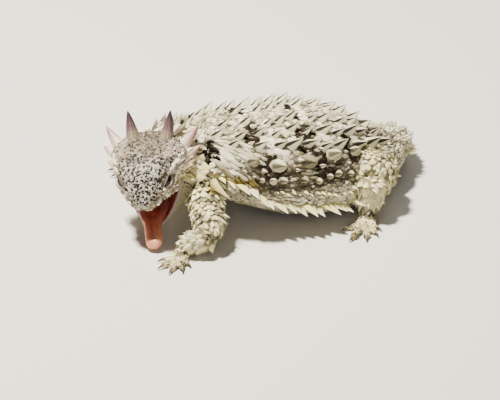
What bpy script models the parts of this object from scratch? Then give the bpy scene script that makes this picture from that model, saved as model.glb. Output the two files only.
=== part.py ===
"""Life-size horned lizard, head turned to its left and mouth open with the tongue put out to the ground.

The animal faces -Y with its left side towards +X and stands on z = 0. Lengths below are in
millimetres and are turned to metres where a mesh is made. Every body part is a form swept along a
smooth path, thorns and spikes are set on that form and joined to it, and a part is cut back from
its neighbour by a thin gap.
"""

import math

import bmesh
import bpy
import numpy as np
from mathutils import Matrix, Vector
from mathutils.bvhtree import BVHTree

MM = 0.001
GAP = 0.3
SEED = 11
PARTS = "horned_lizard"
CUTTERS = "cutters"

# Driving dimensions, from a snout-to-vent length of 80 mm
SNOUT_VENT = 80.0
TRUNK_LENGTH = 0.825 * SNOUT_VENT
TRUNK_REAR_Y = 0.4625 * SNOUT_VENT
TRUNK_HALF_WIDTH = 0.29 * SNOUT_VENT
BACK_HEIGHT = 0.35 * SNOUT_VENT
HEAD_LENGTH = 0.235 * SNOUT_VENT
HEAD_HALF_WIDTH = 0.132 * SNOUT_VENT
TAIL_LENGTH = 0.54 * SNOUT_VENT

# How the head is carried
HEAD_AT = (2.0, -39.5, 22.0)
HEAD_YAW = 62.0
HEAD_PITCH = 25.0
HEAD_ROLL = 6.8
GAPE = 40.0
JAW_HINGE = (2.5, -4.6)

# Thorns: height, width across and length along the body at the root
BACK_THORN = (2.9, 2.9, 3.9)
SMALL_THORN = (1.6, 1.8, 2.3)
FRINGE_SPIKE = (3.3, 1.1, 2.3)
UPPER_FRINGE_SPIKE = (1.8, 1.0, 1.7)
LIMB_THORN = (1.5, 1.5, 1.9)
ROOT_SINK = 0.75
FRINGE_SINK = 1.5
LEAST_CLEARANCE_OF_FLOOR = 0.6
FLOOR_BLOCK = (300.0, 300.0, 20.0)

CREAM = (0.78, 0.74, 0.62, 1.0)
SKIN_TONE = (0.60, 0.55, 0.44, 1.0)
HORN_TONE = (0.42, 0.27, 0.24, 1.0)
PALE_HORN_TONE = (0.75, 0.55, 0.47, 1.0)
TONGUE_TONE = (0.82, 0.42, 0.30, 1.0)
EYE_TONE = (0.02, 0.015, 0.012, 1.0)
FLESH_TONES = {"torso": CREAM, "head": CREAM, "tongue": TONGUE_TONE}


def clear_scene():
    for obj in list(bpy.data.objects):
        bpy.data.objects.remove(obj)


def collection_named(name):
    """The collection of that name, made in the scene at its first use. Cutters are not rendered."""
    if name not in bpy.data.collections:
        made = bpy.data.collections.new(name)
        made.hide_render = name == CUTTERS
        bpy.context.scene.collection.children.link(made)
    return bpy.data.collections[name]


def unit(vector):
    vector = np.asarray(vector, float)
    return vector / np.linalg.norm(vector, axis=-1, keepdims=True)


def smooth(keys, values, at):
    """A cubic curve through the values at the keys, read at the places asked for."""
    keys = np.asarray(keys, float)
    values = np.asarray(values, float)
    at = np.clip(np.atleast_1d(np.asarray(at, float)), keys[0], keys[-1])
    slopes = np.gradient(values, keys, axis=0)
    left = np.clip(np.searchsorted(keys, at, side="right") - 1, 0, len(keys) - 2)
    span = keys[left + 1] - keys[left]
    s = (at - keys[left]) / span
    shape = (-1,) + (1,) * (values.ndim - 1)
    s = s.reshape(shape)
    span = span.reshape(shape)
    return (
        (2 * s**3 - 3 * s**2 + 1) * values[left]
        + (s**3 - 2 * s**2 + s) * span * slopes[left]
        + (3 * s**2 - 2 * s**3) * values[left + 1]
        + (s**3 - s**2) * span * slopes[left + 1]
    )


class Sweep:
    """A form swept along a path, travelling towards the head or away from a limb's root.

    Each station is (centre, half width, height above, height below). A section is a squared ellipse,
    with its own squareness under the widest line: angle 0 is the left side, 90 the top and 270 the
    bottom.
    """

    def __init__(self, stations, up=(0, 0, 1), squareness=2.2, under=None):
        centres = np.array([s[0] for s in stations], float)
        steps = np.linalg.norm(np.diff(centres, axis=0), axis=1)
        self.keys = np.concatenate([[0.0], np.cumsum(steps)]) / steps.sum()
        self.length = float(steps.sum())
        self.centres = centres
        self.sizes = np.array([s[1:4] for s in stations], float)
        self.up = unit(up)
        self.powers = 2.0 / squareness, 2.0 / (under or squareness)

    def axes(self, along):
        step = 0.004
        ahead = smooth(self.keys, self.centres, np.clip(along + step, 0, 1))
        behind = smooth(self.keys, self.centres, np.clip(along - step, 0, 1))
        travel = unit(ahead - behind)
        side = unit(np.cross(np.broadcast_to(self.up, travel.shape), travel))
        return travel, side, np.cross(travel, side)

    def points(self, along, degrees):
        """Surface points for arrays of the same length: place along the path, and angle round it."""
        along = np.atleast_1d(np.asarray(along, float))
        angle = np.radians(np.atleast_1d(np.asarray(degrees, float)))
        centre = smooth(self.keys, self.centres, along)
        wide, above, below = smooth(self.keys, self.sizes, along).T
        _, side, up = self.axes(along)
        cos, sin = np.cos(angle), np.sin(angle)
        power = np.where(sin > 0, *self.powers)
        x = np.sign(cos) * np.abs(cos) ** power * wide
        z = np.sign(sin) * np.abs(sin) ** power * np.where(sin > 0, above, below)
        return centre + side * x[:, None] + up * z[:, None]

    def spot(self, along, degrees):
        """(point, outward normal, direction back along the path) of one place on the surface."""
        du, dt = 0.01, 3.0
        here = self.points(along, degrees)[0]
        ahead = self.points(min(along + du, 1), degrees)[0]
        behind = self.points(max(along - du, 0), degrees)[0]
        forward = ahead - behind
        around = self.points(along, degrees + dt)[0] - self.points(along, degrees - dt)[0]
        out = unit(np.cross(around, forward))
        back = -unit(forward - out * np.dot(forward, out))
        return here, out, back

    def mesh(self, rings, around, start=0.0, end=1.0):
        """A closed bmesh of the whole form or of one stretch of it."""
        along = np.linspace(start, end, rings)
        degrees = np.arange(around) * 360.0 / around
        grid_along, grid_degrees = np.meshgrid(along, degrees, indexing="ij")
        points = self.points(grid_along.ravel(), grid_degrees.ravel())
        poles = smooth(self.keys, self.centres, np.array([start, end]))
        bm = bmesh.new()
        verts = [bm.verts.new(Vector(p) * MM) for p in points]
        first, last = (bm.verts.new(Vector(p) * MM) for p in poles)
        for i in range(rings - 1):
            for j in range(around):
                k = (j + 1) % around
                low, high = i * around, (i + 1) * around
                corners = (low + j, low + k, high + k, high + j)
                bm.faces.new([verts[c] for c in corners])
        for j in range(around):
            k = (j + 1) % around
            bm.faces.new((first, verts[k], verts[j]))
            bm.faces.new((last, verts[(rings - 1) * around + j], verts[(rings - 1) * around + k]))
        bm.normal_update()
        return bm


def head_axes():
    """(forward, left, up) of the head, from its yaw to the left, its pitch down and its roll."""
    yaw, pitch, roll = (math.radians(a) for a in (HEAD_YAW, HEAD_PITCH, HEAD_ROLL))
    level_share = math.cos(pitch)
    forward = np.array([math.sin(yaw) * level_share, -math.cos(yaw) * level_share, -math.sin(pitch)])
    level = unit(np.cross((0, 0, 1), forward))
    upright = np.cross(forward, level)
    left = level * math.cos(roll) + upright * math.sin(roll)
    return forward, left, np.cross(forward, left)


def jaw_axes():
    forward, left, up = head_axes()
    gape = math.radians(GAPE)
    down = forward * math.cos(gape) - up * math.sin(gape)
    return down, left, np.cross(down, left)


def in_head(forward_mm, left_mm, up_mm):
    forward, left, up = head_axes()
    return np.array(HEAD_AT) + forward * forward_mm + left * left_mm + up * up_mm


def trunk_form():
    """Trunk, from the vent to the throat.

    A row holds the share of the length, how far the axis bends to the right, the share of the half
    width, and the heights of back, belly and widest line.
    """
    shares = (
        (0.000, -4.6, 0.25, 13.2, 5.0, 9.2),
        (0.020, -3.8, 0.36, 14.9, 3.6, 8.8),
        (0.080, -2.1, 0.50, 18.2, 1.0, 7.6),
        (0.180, -0.7, 0.68, 21.8, -0.6, 6.6),
        (0.300, 0.0, 0.89, 24.9, -1.0, 6.4),
        (0.440, 0.0, 1.03, 27.2, -1.0, 7.2),
        (0.580, 0.0, 1.01, 28.6, -0.6, 8.8),
        (0.710, 0.0, 0.96, 29.2, 2.8, 11.0),
        (0.820, 0.0, 0.88, 29.4, 5.8, 13.6),
        (0.910, 0.0, 0.78, 29.2, 8.0, 15.4),
        (0.980, 0.0, 0.62, 28.0, 10.0, 16.6),
        (1.000, 0.0, 0.46, 26.0, 12.0, 17.2),
    )
    stations = []
    for share, bend, wide, back, belly, middle in shares:
        centre = (bend, TRUNK_REAR_Y - share * TRUNK_LENGTH, middle)
        lift = BACK_HEIGHT / 28.0
        stations.append((centre, wide * TRUNK_HALF_WIDTH, (back - middle) * lift, middle - belly))
    return Sweep(stations, squareness=2.15, under=1.6)


def neck_form():
    """Neck, bent from the shoulders round to the back of the turned head."""
    stations = (
        ((-1.0, -20.0, 17.0), 9.0, 7.5, 8.0),
        ((-2.4, -27.0, 18.8), 12.4, 8.2, 8.8),
        ((-3.2, -33.0, 20.4), 10.2, 7.0, 8.4),
        ((-0.6, -37.6, 21.0), 8.4, 5.4, 6.8),
        ((1.6, -40.4, 20.8), 6.0, 4.0, 5.0),
    )
    return Sweep(stations, squareness=2.2)


def head_form():
    """Head above the mouth line, in its own frame: (forward, half width, top, bottom, widest line)."""
    shares = (
        (-4.6, 0.46, 3.0, -4.0, -0.4),
        (-3.8, 0.72, 4.4, -5.2, 0.2),
        (-1.6, 0.97, 5.6, -6.2, 1.0),
        (1.2, 1.03, 6.3, -6.2, 1.4),
        (4.0, 0.97, 6.8, -5.0, 1.8),
        (7.0, 0.86, 7.0, -3.9, 2.3),
        (9.8, 0.79, 6.7, -3.6, 2.6),
        (12.0, 0.69, 5.6, -3.5, 1.8),
        (14.2, 0.57, 3.7, -3.4, 0.2),
        (16.3, 0.42, 2.0, -3.2, -0.9),
        (17.9, 0.26, 0.5, -2.9, -1.4),
        (18.7, 0.12, -0.7, -2.4, -1.6),
    )
    stretch = HEAD_LENGTH / 18.8
    stations = []
    for ahead, wide, top, bottom, middle in shares:
        centre = tuple(in_head(ahead * stretch, 0.0, middle))
        stations.append((centre, wide * HEAD_HALF_WIDTH, top - middle, middle - bottom))
    return Sweep(stations, up=head_axes()[2], squareness=2.5)


def jaw_form():
    """Lower jaw, swung down from its hinge: (ahead of the hinge, half width, top, bottom)."""
    shares = (
        (-3.4, 5.4, 0.2, 1.4),
        (-2.4, 7.6, 0.8, 2.6),
        (0.5, 8.9, 1.1, 3.3),
        (4.0, 8.5, 0.9, 3.2),
        (7.5, 7.3, 0.8, 2.9),
        (10.8, 5.7, 0.7, 2.5),
        (13.4, 3.9, 0.6, 2.0),
        (15.0, 2.2, 0.5, 1.4),
        (15.7, 1.0, 0.3, 0.8),
    )
    down, _, up = jaw_axes()
    hinge = in_head(JAW_HINGE[0], 0.0, JAW_HINGE[1])
    stations = [(tuple(hinge + down * a - up * 0.6), w, t, b) for a, w, t, b in shares]
    return Sweep(stations, up=up, squareness=2.6)


def tongue_form():
    """Tongue, along the floor of the mouth, over the tip of the lower jaw and out to the ground."""
    down, _, up = jaw_axes()
    hinge = in_head(JAW_HINGE[0], 0.0, JAW_HINGE[1])
    stations = (
        (tuple(hinge + down * 3.6 + up * 0.9), 1.8, 0.8, 0.8),
        (tuple(hinge + down * 4.8 + up * 1.3), 3.6, 1.5, 1.3),
        (tuple(hinge + down * 8.6 + up * 1.4), 3.5, 1.6, 1.4),
        ((10.4, -42.3, 6.9), 3.0, 1.6, 1.4),
        ((14.0, -43.8, 4.4), 2.5, 1.5, 1.4),
        ((16.8, -44.9, 2.7), 2.7, 1.4, 1.3),
        ((18.6, -45.7, 1.8), 2.2, 1.1, 1.0),
        ((19.3, -46.0, 1.4), 1.2, 0.5, 0.5),
    )
    return Sweep(stations, up=up, squareness=2.1)


def tail_form():
    """Tail, broad at the vent and quickly slim, curled to the animal's right, travelling to the vent."""
    shares = (
        ((-37.2, 38.8, 1.0), 0.7, 0.7, 1.3),
        ((-36.0, 39.6, 1.1), 1.2, 1.1, 1.5),
        ((-30.0, 42.4, 1.6), 2.2, 1.9, 2.0),
        ((-22.6, 43.8, 2.5), 3.2, 2.9, 2.8),
        ((-16.0, 43.6, 3.9), 4.3, 4.1, 4.1),
        ((-10.4, 42.0, 5.9), 5.6, 5.2, 4.8),
        ((-6.4, 38.8, 7.9), 6.8, 6.2, 5.0),
        ((-3.0, 33.6, 9.2), 7.4, 6.6, 5.2),
    )
    reach = TAIL_LENGTH / 43.2
    root = np.array(shares[-1][0])
    stations = []
    for centre, wide, above, below in shares:
        middle = root + (np.array(centre) - root) * (reach, reach, 1.0)
        stations.append((tuple(middle), wide, above, below))
    return Sweep(stations, squareness=2.2)


def limb_form(root, end, root_size, end_size, swell=1.12, up=(0, 0, 1)):
    """A limb length that swells a little before its middle. A size is (half width, half height)."""
    root, end = np.array(root, float), np.array(end, float)
    middle_size = np.array(root_size) * 0.55 + np.array(end_size) * 0.45
    rows = (
        (0.00, np.array(root_size) * 0.60),
        (0.08, np.array(root_size) * 0.94),
        (0.42, middle_size * swell),
        (0.92, np.array(end_size) * 0.97),
        (1.00, np.array(end_size) * 0.60),
    )
    stations = [(tuple(root + (end - root) * share), s[0], s[1], s[1]) for share, s in rows]
    return Sweep(stations, up=up, squareness=2.1)


# Joints of the legs. The right foreleg and hind leg stand a little further back than the left.
LEGS = {
    "left": {
        "shoulder": (11.0, -26.6, 12.4),
        "elbow": (26.5, -29.8, 5.9),
        "wrist": (23.8, -37.2, 2.6),
        "hand_heading": (0.75, -0.66),
        "hip": (8.0, 27.0, 9.0),
        "knee": (20.0, 21.6, 12.4),
        "ankle": (21.4, 21.0, 3.0),
        "foot_heading": (0.85, -0.52),
    },
    "right": {
        "shoulder": (-11.0, -24.0, 12.8),
        "elbow": (-25.2, -22.0, 7.0),
        "wrist": (-26.8, -31.0, 2.6),
        "hand_heading": (-0.45, -0.89),
        "hip": (-8.0, 27.0, 9.0),
        "knee": (-21.6, 21.6, 11.2),
        "ankle": (-27.0, 28.4, 2.8),
        "foot_heading": (-0.80, -0.60),
    },
}
UPPER_ARM_SIZES = ((4.8, 4.6), (3.3, 3.2))
FOREARM_SIZES = ((3.1, 3.1), (2.2, 2.1))
THIGH_SIZES = ((6.8, 6.4), (5.2, 5.2))
SHANK_SIZES = ((4.3, 4.2), (2.6, 2.5))
# Fingers: angle from the foot's heading, length, root radius
FINGERS = ((58, 4.2, 0.95), (30, 6.4, 1.0), (4, 7.4, 1.0), (-24, 6.6, 1.0), (-56, 4.6, 0.95))
TOES = ((62, 4.0, 1.0), (36, 6.2, 1.05), (10, 8.4, 1.1), (-16, 9.8, 1.1), (-52, 6.2, 1.0))
CLAW_LENGTH = 2.0
PALM_LENGTH = 5.2
SOLE_LENGTH = 7.0


def turned(heading, degrees):
    angle = math.radians(degrees)
    cos, sin = math.cos(angle), math.sin(angle)
    x, y = unit(np.array(heading))
    return np.array([x * cos - y * sin, x * sin + y * cos, 0.0])


def paw_form(ankle, heading, length, half_width):
    """The palm or sole: a flat pad that lies on the ground and reaches back up to the ankle."""
    ankle = np.array(ankle, float)
    ahead = turned(heading, 0)
    ground = ankle * (1, 1, 0)
    stations = (
        (tuple(ankle - ahead * 1.6 + (0, 0, 0.4)), half_width * 0.45, 1.2, 1.4),
        (tuple(ankle - ahead * 0.8 + (0, 0, 0.2)), half_width * 0.66, 1.9, 2.2),
        (tuple(ankle + ahead * length * 0.25 - (0, 0, 0.5)), half_width * 0.80, 1.8, 2.3),
        (tuple(ground + ahead * length * 0.66 + (0, 0, 1.2)), half_width, 1.2, 1.5),
        (tuple(ground + ahead * length * 0.98 + (0, 0, 0.9)), half_width * 0.78, 0.9, 1.1),
        (tuple(ground + ahead * length * 1.08 + (0, 0, 0.8)), half_width * 0.40, 0.6, 0.8),
    )
    return Sweep(stations, squareness=2.3)


def digit_form(ankle, heading, pad_length, degrees, length, radius):
    """One finger or toe, arched a little and flat to the ground at its end."""
    away = turned(heading, degrees)
    ahead = turned(heading, 0)
    start = np.array(ankle, float) * (1, 1, 0) + ahead * pad_length * 0.72 + (0, 0, 0.95)
    stations = (
        (tuple(start), radius * 0.8, radius * 0.8, radius * 0.8),
        (tuple(start + away * length * 0.25 + (0, 0, 0.25)), radius, radius, radius * 1.1),
        (tuple(start + away * length * 0.65 - (0, 0, 0.05)), radius * 0.86, radius * 0.9, radius * 1.0),
        (tuple(start + away * length * 0.96 - (0, 0, 0.25)), radius * 0.66, radius * 0.7, radius * 0.8),
        (tuple(start + away * length - (0, 0, 0.25)), radius * 0.36, radius * 0.4, radius * 0.5),
    )
    return Sweep(stations, squareness=2.0)


def claw_mesh(ankle, heading, pad_length, degrees, length):
    """A slim claw at the end of a digit, level with the ground."""
    away = turned(heading, degrees)
    ahead = turned(heading, 0)
    start = np.array(ankle, float) * (1, 1, 0) + ahead * pad_length * 0.72
    root = start + away * (length - 0.9) + (0, 0, 0.85)
    tip = start + away * (length + CLAW_LENGTH) + (0, 0, 0.28)
    return cone_between(root, tip, 0.50, 0.50, 4)


def object_of(name, bm, group=PARTS):
    mesh = bpy.data.meshes.new(name)
    bm.to_mesh(mesh)
    bm.free()
    obj = bpy.data.objects.new(name, mesh)
    collection_named(group).objects.link(obj)
    if group == CUTTERS:
        obj.display_type = "WIRE"
        obj.hide_render = True
    return obj


def cone_between(root, tip, half_wide, half_high, sides, wide_axis=(0, 0, 1), blunt=0.0):
    """A pointed cone from root to tip. Its section is wide along the axis given, and high across it."""
    root, tip = np.array(root, float), np.array(tip, float)
    travel = tip - root
    wide = np.array(wide_axis, float)
    wide = wide - travel * np.dot(wide, travel) / np.dot(travel, travel)
    if np.linalg.norm(wide) < 1e-6:
        wide = np.array((1.0, 0.0, 0.0))
    wide = unit(wide)
    high = unit(np.cross(travel, wide))
    bm = bmesh.new()
    bmesh.ops.create_cone(bm, cap_ends=True, segments=sides, radius1=1.0, radius2=blunt, depth=1.0)
    place = np.eye(4)
    place[:3] = np.stack([wide * half_wide, high * half_high, travel, root + travel / 2], axis=1) * MM
    bm.transform(Matrix(place.tolist()))
    bmesh.ops.recalc_face_normals(bm, faces=bm.faces)
    return bm


def thorn(spot, height, half_wide, half_long, lean, sink=ROOT_SINK, sides=4):
    """A four-sided thorn on a spot of the surface, leaning back by the share of its height given."""
    here, out, back = spot
    root = here - out * sink - back * (half_long * 0.15)
    tip = here + out * height + back * (height * lean)
    return {"root": root, "tip": tip, "wide": half_long, "high": half_wide, "axis": back, "sides": sides}


def spike(spot, aim, length, half_thick, half_long, sink=FRINGE_SINK):
    """A flat spike that stands out of the surface along its own aim, wide along the body."""
    here, _, back = spot
    aim = unit(aim)
    root = here - aim * sink
    tip = here + aim * length
    return {"root": root, "tip": tip, "wide": half_long, "high": half_thick, "axis": back, "sides": 4}


def thorn_mesh(t):
    return cone_between(t["root"], t["tip"], t["wide"], t["high"], t["sides"], t["axis"])


class Ground:
    """Nearest-surface test against one part's flesh."""

    def __init__(self, bm):
        copy = bm.copy()
        bmesh.ops.triangulate(copy, faces=copy.faces)
        self.tree = BVHTree.FromBMesh(copy)
        copy.free()

    def distance(self, point):
        """Millimetres from the surface, below zero inside."""
        point = Vector(point) * MM
        found, normal, _, distance = self.tree.find_nearest(point)
        side = 1.0 if (point - found).dot(normal) >= 0 else -1.0
        return side * distance / MM


def samples(t):
    """Points along a thorn's outer half with the thickness it has there."""
    shares = (0.45, 0.6, 0.75, 0.9, 1.0)
    travel = t["tip"] - t["root"]
    thick = max(t["wide"], t["high"])
    return [(t["root"] + travel * s, thick * (1 - s)) for s in shares]


def clear_of_flesh(t, grounds, own):
    return all(
        ground.distance(point) > thick + GAP
        for name, ground in grounds.items()
        if name != own
        for point, thick in samples(t)
    )


def clear_of_thorns(t, others):
    for other in others:
        for point, thick in samples(t):
            for there, thick_there in samples(other):
                if np.linalg.norm(point - there) < thick + thick_there + GAP:
                    return False
    return True


def trunk_thorns(form, rng):
    """Back thorns in staggered rows, small thorns between them, and two rows of fringe on each flank."""
    made = []
    rows = (
        (22, 0.24, 0.86, 9, 0.92),
        (36, 0.16, 0.92, 10, 1.0),
        (51, 0.12, 0.96, 11, 1.0),
        (66, 0.10, 0.98, 12, 1.0),
        (81, 0.09, 0.98, 12, 0.85),
    )
    height, wide, long = BACK_THORN
    for side in (1, -1):
        for number, (degrees, start, end, count, size) in enumerate(rows):
            for k in range(count):
                shift = 0.5 * (number % 2)
                along = start + (end - start) * (k + shift) / count + rng.uniform(-0.008, 0.008)
                angle = degrees + rng.uniform(-2.0, 2.0)
                grow = size * rng.uniform(0.85, 1.15)
                spot = form.spot(along, angle if side > 0 else 180 - angle)
                made.append(thorn(spot, height * grow, wide / 2 * grow, long / 2 * grow, 0.75))
    height, wide, long = SMALL_THORN
    for side in (1, -1):
        for number, degrees in enumerate((14, 43, 73)):
            for k in range(8):
                along = 0.20 + 0.64 * (k + 0.5 * (number % 2)) / 8 + rng.uniform(-0.01, 0.01)
                angle = degrees + rng.uniform(-2.5, 2.5)
                grow = rng.uniform(0.8, 1.2)
                spot = form.spot(along, angle if side > 0 else 180 - angle)
                made.append(thorn(spot, height * grow, wide / 2 * grow, long / 2 * grow, 0.7))
    fringe_rows = (
        (1, 0.13, 0.78, 24, FRINGE_SPIKE, -0.15),
        (16, 0.20, 0.72, 15, UPPER_FRINGE_SPIKE, 0.10),
    )
    for side in (1, -1):
        for degrees, start, end, count, (height, thick, long), droop in fringe_rows:
            for k in range(count):
                share = k / (count - 1)
                along = start + (end - start) * share
                grow = rng.uniform(0.88, 1.12) * (0.75 + 0.25 * math.sin(math.pi * share))
                spot = form.spot(along, degrees if side > 0 else 180 - degrees)
                aim = unit(spot[1] * (1, 1, 0.2)) + spot[2] * 0.42 + np.array((0, 0, droop))
                made.append(spike(spot, aim, height * grow, thick / 2, long / 2 * grow))
    return made


def tail_thorns(form, start, end, rng):
    """Fringe along both sides of the tail, and three rows of thorns on top, smaller towards the tip."""
    made = []
    count = max(4, round((end - start) * form.length / 2.3))
    for k in range(count):
        along = start + (end - start) * (k + 0.5) / count
        size = 0.30 + 0.70 * along
        for degrees in (-4, 184):
            spot = form.spot(along, degrees)
            aim = spot[1] + spot[2] * 0.7 + np.array((0, 0, -0.05))
            half_thick = max(0.5 * size, 0.28)
            made.append(spike(spot, aim, 2.5 * size, half_thick, 1.1 * size, 0.9 * size + 0.2))
    count = max(3, round((end - start) * form.length / 4.0))
    for k in range(count):
        for number, degrees in enumerate((42, 90, 138)):
            along = start + (end - start) * (k + 0.3 + 0.5 * (number % 2)) / count
            size = 0.35 + 0.65 * along
            spot = form.spot(along, degrees + rng.uniform(-5, 5))
            made.append(thorn(spot, 1.9 * size, 0.9 * size, 1.1 * size, 0.8, 0.5 * size + 0.1))
    return made


# Rows of limb thorns (angle, first place, last place, count), whether they mirror, and their size
LIMB_THORN_ROWS = {
    "upper_arm": (((150, 0.45, 0.9, 3), (90, 0.4, 0.9, 3), (35, 0.5, 0.9, 2)), True, 1.0),
    "forearm": (((90, 0.2, 0.8, 3), (50, 0.2, 0.7, 2), (130, 0.2, 0.7, 2)), False, 0.9),
    "thigh": (((150, 0.5, 0.9, 3), (90, 0.45, 0.9, 3), (35, 0.5, 0.9, 3)), True, 1.15),
    "shank": (((90, 0.2, 0.85, 4), (45, 0.25, 0.8, 3), (135, 0.25, 0.8, 3)), False, 1.0),
}


def limb_thorns(form, rows, rng, size):
    """Thorns on the outer and upper side of a limb: rows of (angle, first place, last place, count)."""
    made = []
    height, wide, long = (v * size for v in LIMB_THORN)
    for degrees, start, end, count in rows:
        for k in range(count):
            along = start + (end - start) * k / max(count - 1, 1)
            grow = rng.uniform(0.85, 1.15)
            here, out, back = form.spot(along, degrees + rng.uniform(-6, 6))
            sizes = height * grow, wide / 2 * grow, long / 2 * grow
            made.append(thorn((here, out, -back), *sizes, 0.8, 0.55))
    return made


def head_thorns(form, rng):
    """Brow spikes over each eye, cheek spikes below the horns and low bosses over the crown."""
    made = []
    forward, left, up = head_axes()
    side_spikes = (
        (22, 0.52, 2.2, 0.95),
        (24, 0.60, 1.5, 0.8),
        (-22, 0.36, 1.9, 0.8),
        (-34, 0.46, 1.5, 0.7),
    )
    for side in (1, -1):
        for degrees, along, length, half in side_spikes:
            spot = form.spot(along, degrees if side > 0 else 180 - degrees)
            aim = left * side * 0.8 - forward * 0.45 + up * (0.35 if degrees > 0 else -0.25)
            made.append(spike(spot, aim, length, 0.45, half, 1.0))
    for along in (0.24, 0.36, 0.48, 0.60, 0.71, 0.81):
        for degrees in (56, 90, 124) if along < 0.75 else (70, 110):
            spot = form.spot(along + rng.uniform(-0.015, 0.015), degrees + rng.uniform(-6, 6))
            made.append(thorn(spot, 0.7, 0.95, 1.0, 0.1, 0.6, 5))
    return made


def jaw_thorns(form):
    """The enlarged chin shields: a row of flat spikes along each side of the lower jaw."""
    made = []
    _, left, up = jaw_axes()
    count = 7
    for side in (1, -1):
        for k in range(count):
            along = 0.26 + 0.60 * k / (count - 1)
            size = 1.12 - 0.55 * k / (count - 1)
            spot = form.spot(along, -22 if side > 0 else 202)
            aim = left * side * 0.9 - up * 0.35 + spot[2] * 0.55
            made.append(spike(spot, aim, 2.6 * size, 0.5, 1.15 * size, 1.1))
    return made


def neck_thorns(form, rng):
    """Strong thorns over the nape, and fans of spikes on each side of the neck."""
    made = []
    nape_rows = (
        (0.46, (48, 72, 95, 118, 140)),
        (0.57, (60, 84, 108, 132)),
        (0.68, (72, 96, 120)),
    )
    for along, angles in nape_rows:
        for degrees in angles:
            size = rng.uniform(0.75, 1.0)
            spot = form.spot(along, degrees + rng.uniform(-4, 4))
            made.append(thorn(spot, 2.4 * size, 1.1 * size, 1.5 * size, 0.6))
    fans = (
        (0.44, 8, 3.0),
        (0.54, -12, 3.8),
        (0.44, -26, 3.2),
        (0.56, 22, 2.4),
        (0.64, 4, 2.6),
        (0.64, -26, 3.0),
    )
    for side in (1, -1):
        for along, degrees, length in fans:
            spot = form.spot(along, degrees if side > 0 else 180 - degrees)
            made.append(spike(spot, spot[1] + spot[2] * 0.5, length, 0.7, 1.3, 1.2))
    return made


# Horns: name, root (forward, left, up), tip, root radius, tone, in the head's own frame
HORNS = (
    ("horn_occipital", (-2.4, 4.9, 4.3), (-8.6, 6.4, 9.6), 2.0, HORN_TONE),
    ("horn_temporal_1", (-1.4, 9.0, 1.8), (-7.2, 13.8, 4.2), 1.9, PALE_HORN_TONE),
    ("horn_temporal_2", (1.4, 9.6, 0.6), (-2.6, 14.6, 1.0), 1.6, PALE_HORN_TONE),
    ("horn_temporal_3", (4.4, 9.0, 0.0), (1.6, 13.2, -0.6), 1.3, PALE_HORN_TONE),
)
EYE_AT = (9.4, 6.3, 1.6)
EYE_RADIUS = 2.3
LID_SIZE = (1.0, 0.5)
LID_LIFTS = (46, -44)
LIP_AT = (-34, 0.30, 0.965)
JAW_RIM_AT = (14, 0.27, 0.97)
# Pits: place (forward, left, up), radius, depth
NOSTRIL = ((16.5, 2.2, 1.4), 0.55, 1.2)
EAR = ((2.6, 10.4, -2.6), 1.1, 0.7)


def horn_mesh(root, tip, radius, side):
    """A horn that curves up a little towards its point, as a profile of rings along its path."""
    root = in_head(root[0], root[1] * side, root[2])
    tip = in_head(tip[0], tip[1] * side, tip[2])
    up = head_axes()[2]
    travel = tip - root
    length = np.linalg.norm(travel)
    rows = (
        (-0.16, 0.90, 0.0),
        (0.0, 1.0, 0.0),
        (0.35, 0.78, -0.02),
        (0.7, 0.45, 0.0),
        (1.0, 0.06, 0.06),
    )
    stations = []
    for share, grow, bend in rows:
        spot = root + travel * share + up * bend * length
        stations.append((tuple(spot), grow * radius, grow * radius, grow * radius))
    return Sweep(stations, up=up, squareness=2.0).mesh(6, 9)


def eye_mesh(side):
    bm = bmesh.new()
    bmesh.ops.create_uvsphere(bm, u_segments=14, v_segments=9, radius=EYE_RADIUS * MM)
    bm.transform(Matrix.Translation(Vector(in_head(EYE_AT[0], EYE_AT[1] * side, EYE_AT[2])) * MM))
    return bm


def lid_mesh(side, lift):
    """One eyelid: a crescent over the eye from its front corner to its rear corner, raised by a tilt."""
    forward, left, up = head_axes()
    centre = in_head(EYE_AT[0], EYE_AT[1] * side, EYE_AT[2])
    outward = unit(left * side + up * 0.25 + forward * 0.12)
    above = unit(up - outward * np.dot(up, outward))
    tilt = math.radians(lift)
    stations = []
    for turn, share in ((-84, 0.35), (-55, 0.8), (-20, 1.0), (20, 1.0), (55, 0.8), (84, 0.35)):
        angle = math.radians(turn)
        away = outward * math.cos(tilt) + above * math.sin(tilt)
        ray = away * math.cos(angle) + forward * math.sin(angle)
        spot = centre + ray * (EYE_RADIUS + 0.25)
        wide, high = LID_SIZE[0] * share, LID_SIZE[1] * share
        stations.append((tuple(spot), wide, high, high))
    return Sweep(stations, up=outward, squareness=2.0).mesh(7, 5)


def rim_mesh(form, degrees, start, end, half_wide, half_high):
    """A ridge round a jaw's edge, from the left corner of the mouth round its tip to the right one."""
    shares = np.linspace(start, end, 7)
    left = [form.points(a, degrees)[0] for a in shares]
    right = [form.points(a, 180 - degrees)[0] for a in shares[::-1]]
    sizes = [0.6] + [1.0] * 12 + [0.6]
    stations = []
    for spot, grow in zip(left + right, sizes):
        stations.append((tuple(spot), half_wide * grow, half_high * grow, half_high * grow))
    return Sweep(stations, up=form.up, squareness=2.0).mesh(14, 4)


def pit_mesh(place, side, radius, depth):
    """A round pit in the head, as a cone that points into it."""
    place = np.array(place, float) * (1, side, 1)
    mouth = in_head(*place)
    inward = unit(in_head(place[0], place[1] * 0.6, place[2] * 0.6 - 0.6) - mouth)
    start, end = mouth - inward * 0.6, mouth + inward * depth
    return cone_between(start, end, radius, radius, 8, blunt=0.4)


def grown_object(name, bm, gap=GAP):
    """A copy of the flesh with its faces moved out by the gap, used to cut its neighbours."""
    copy = bm.copy()
    copy.normal_update()
    shift = {v: v.normal * (v.calc_shell_factor() * gap * MM) for v in copy.verts}
    for v, move in shift.items():
        v.co += move
    return object_of(name, copy, CUTTERS)


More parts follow.
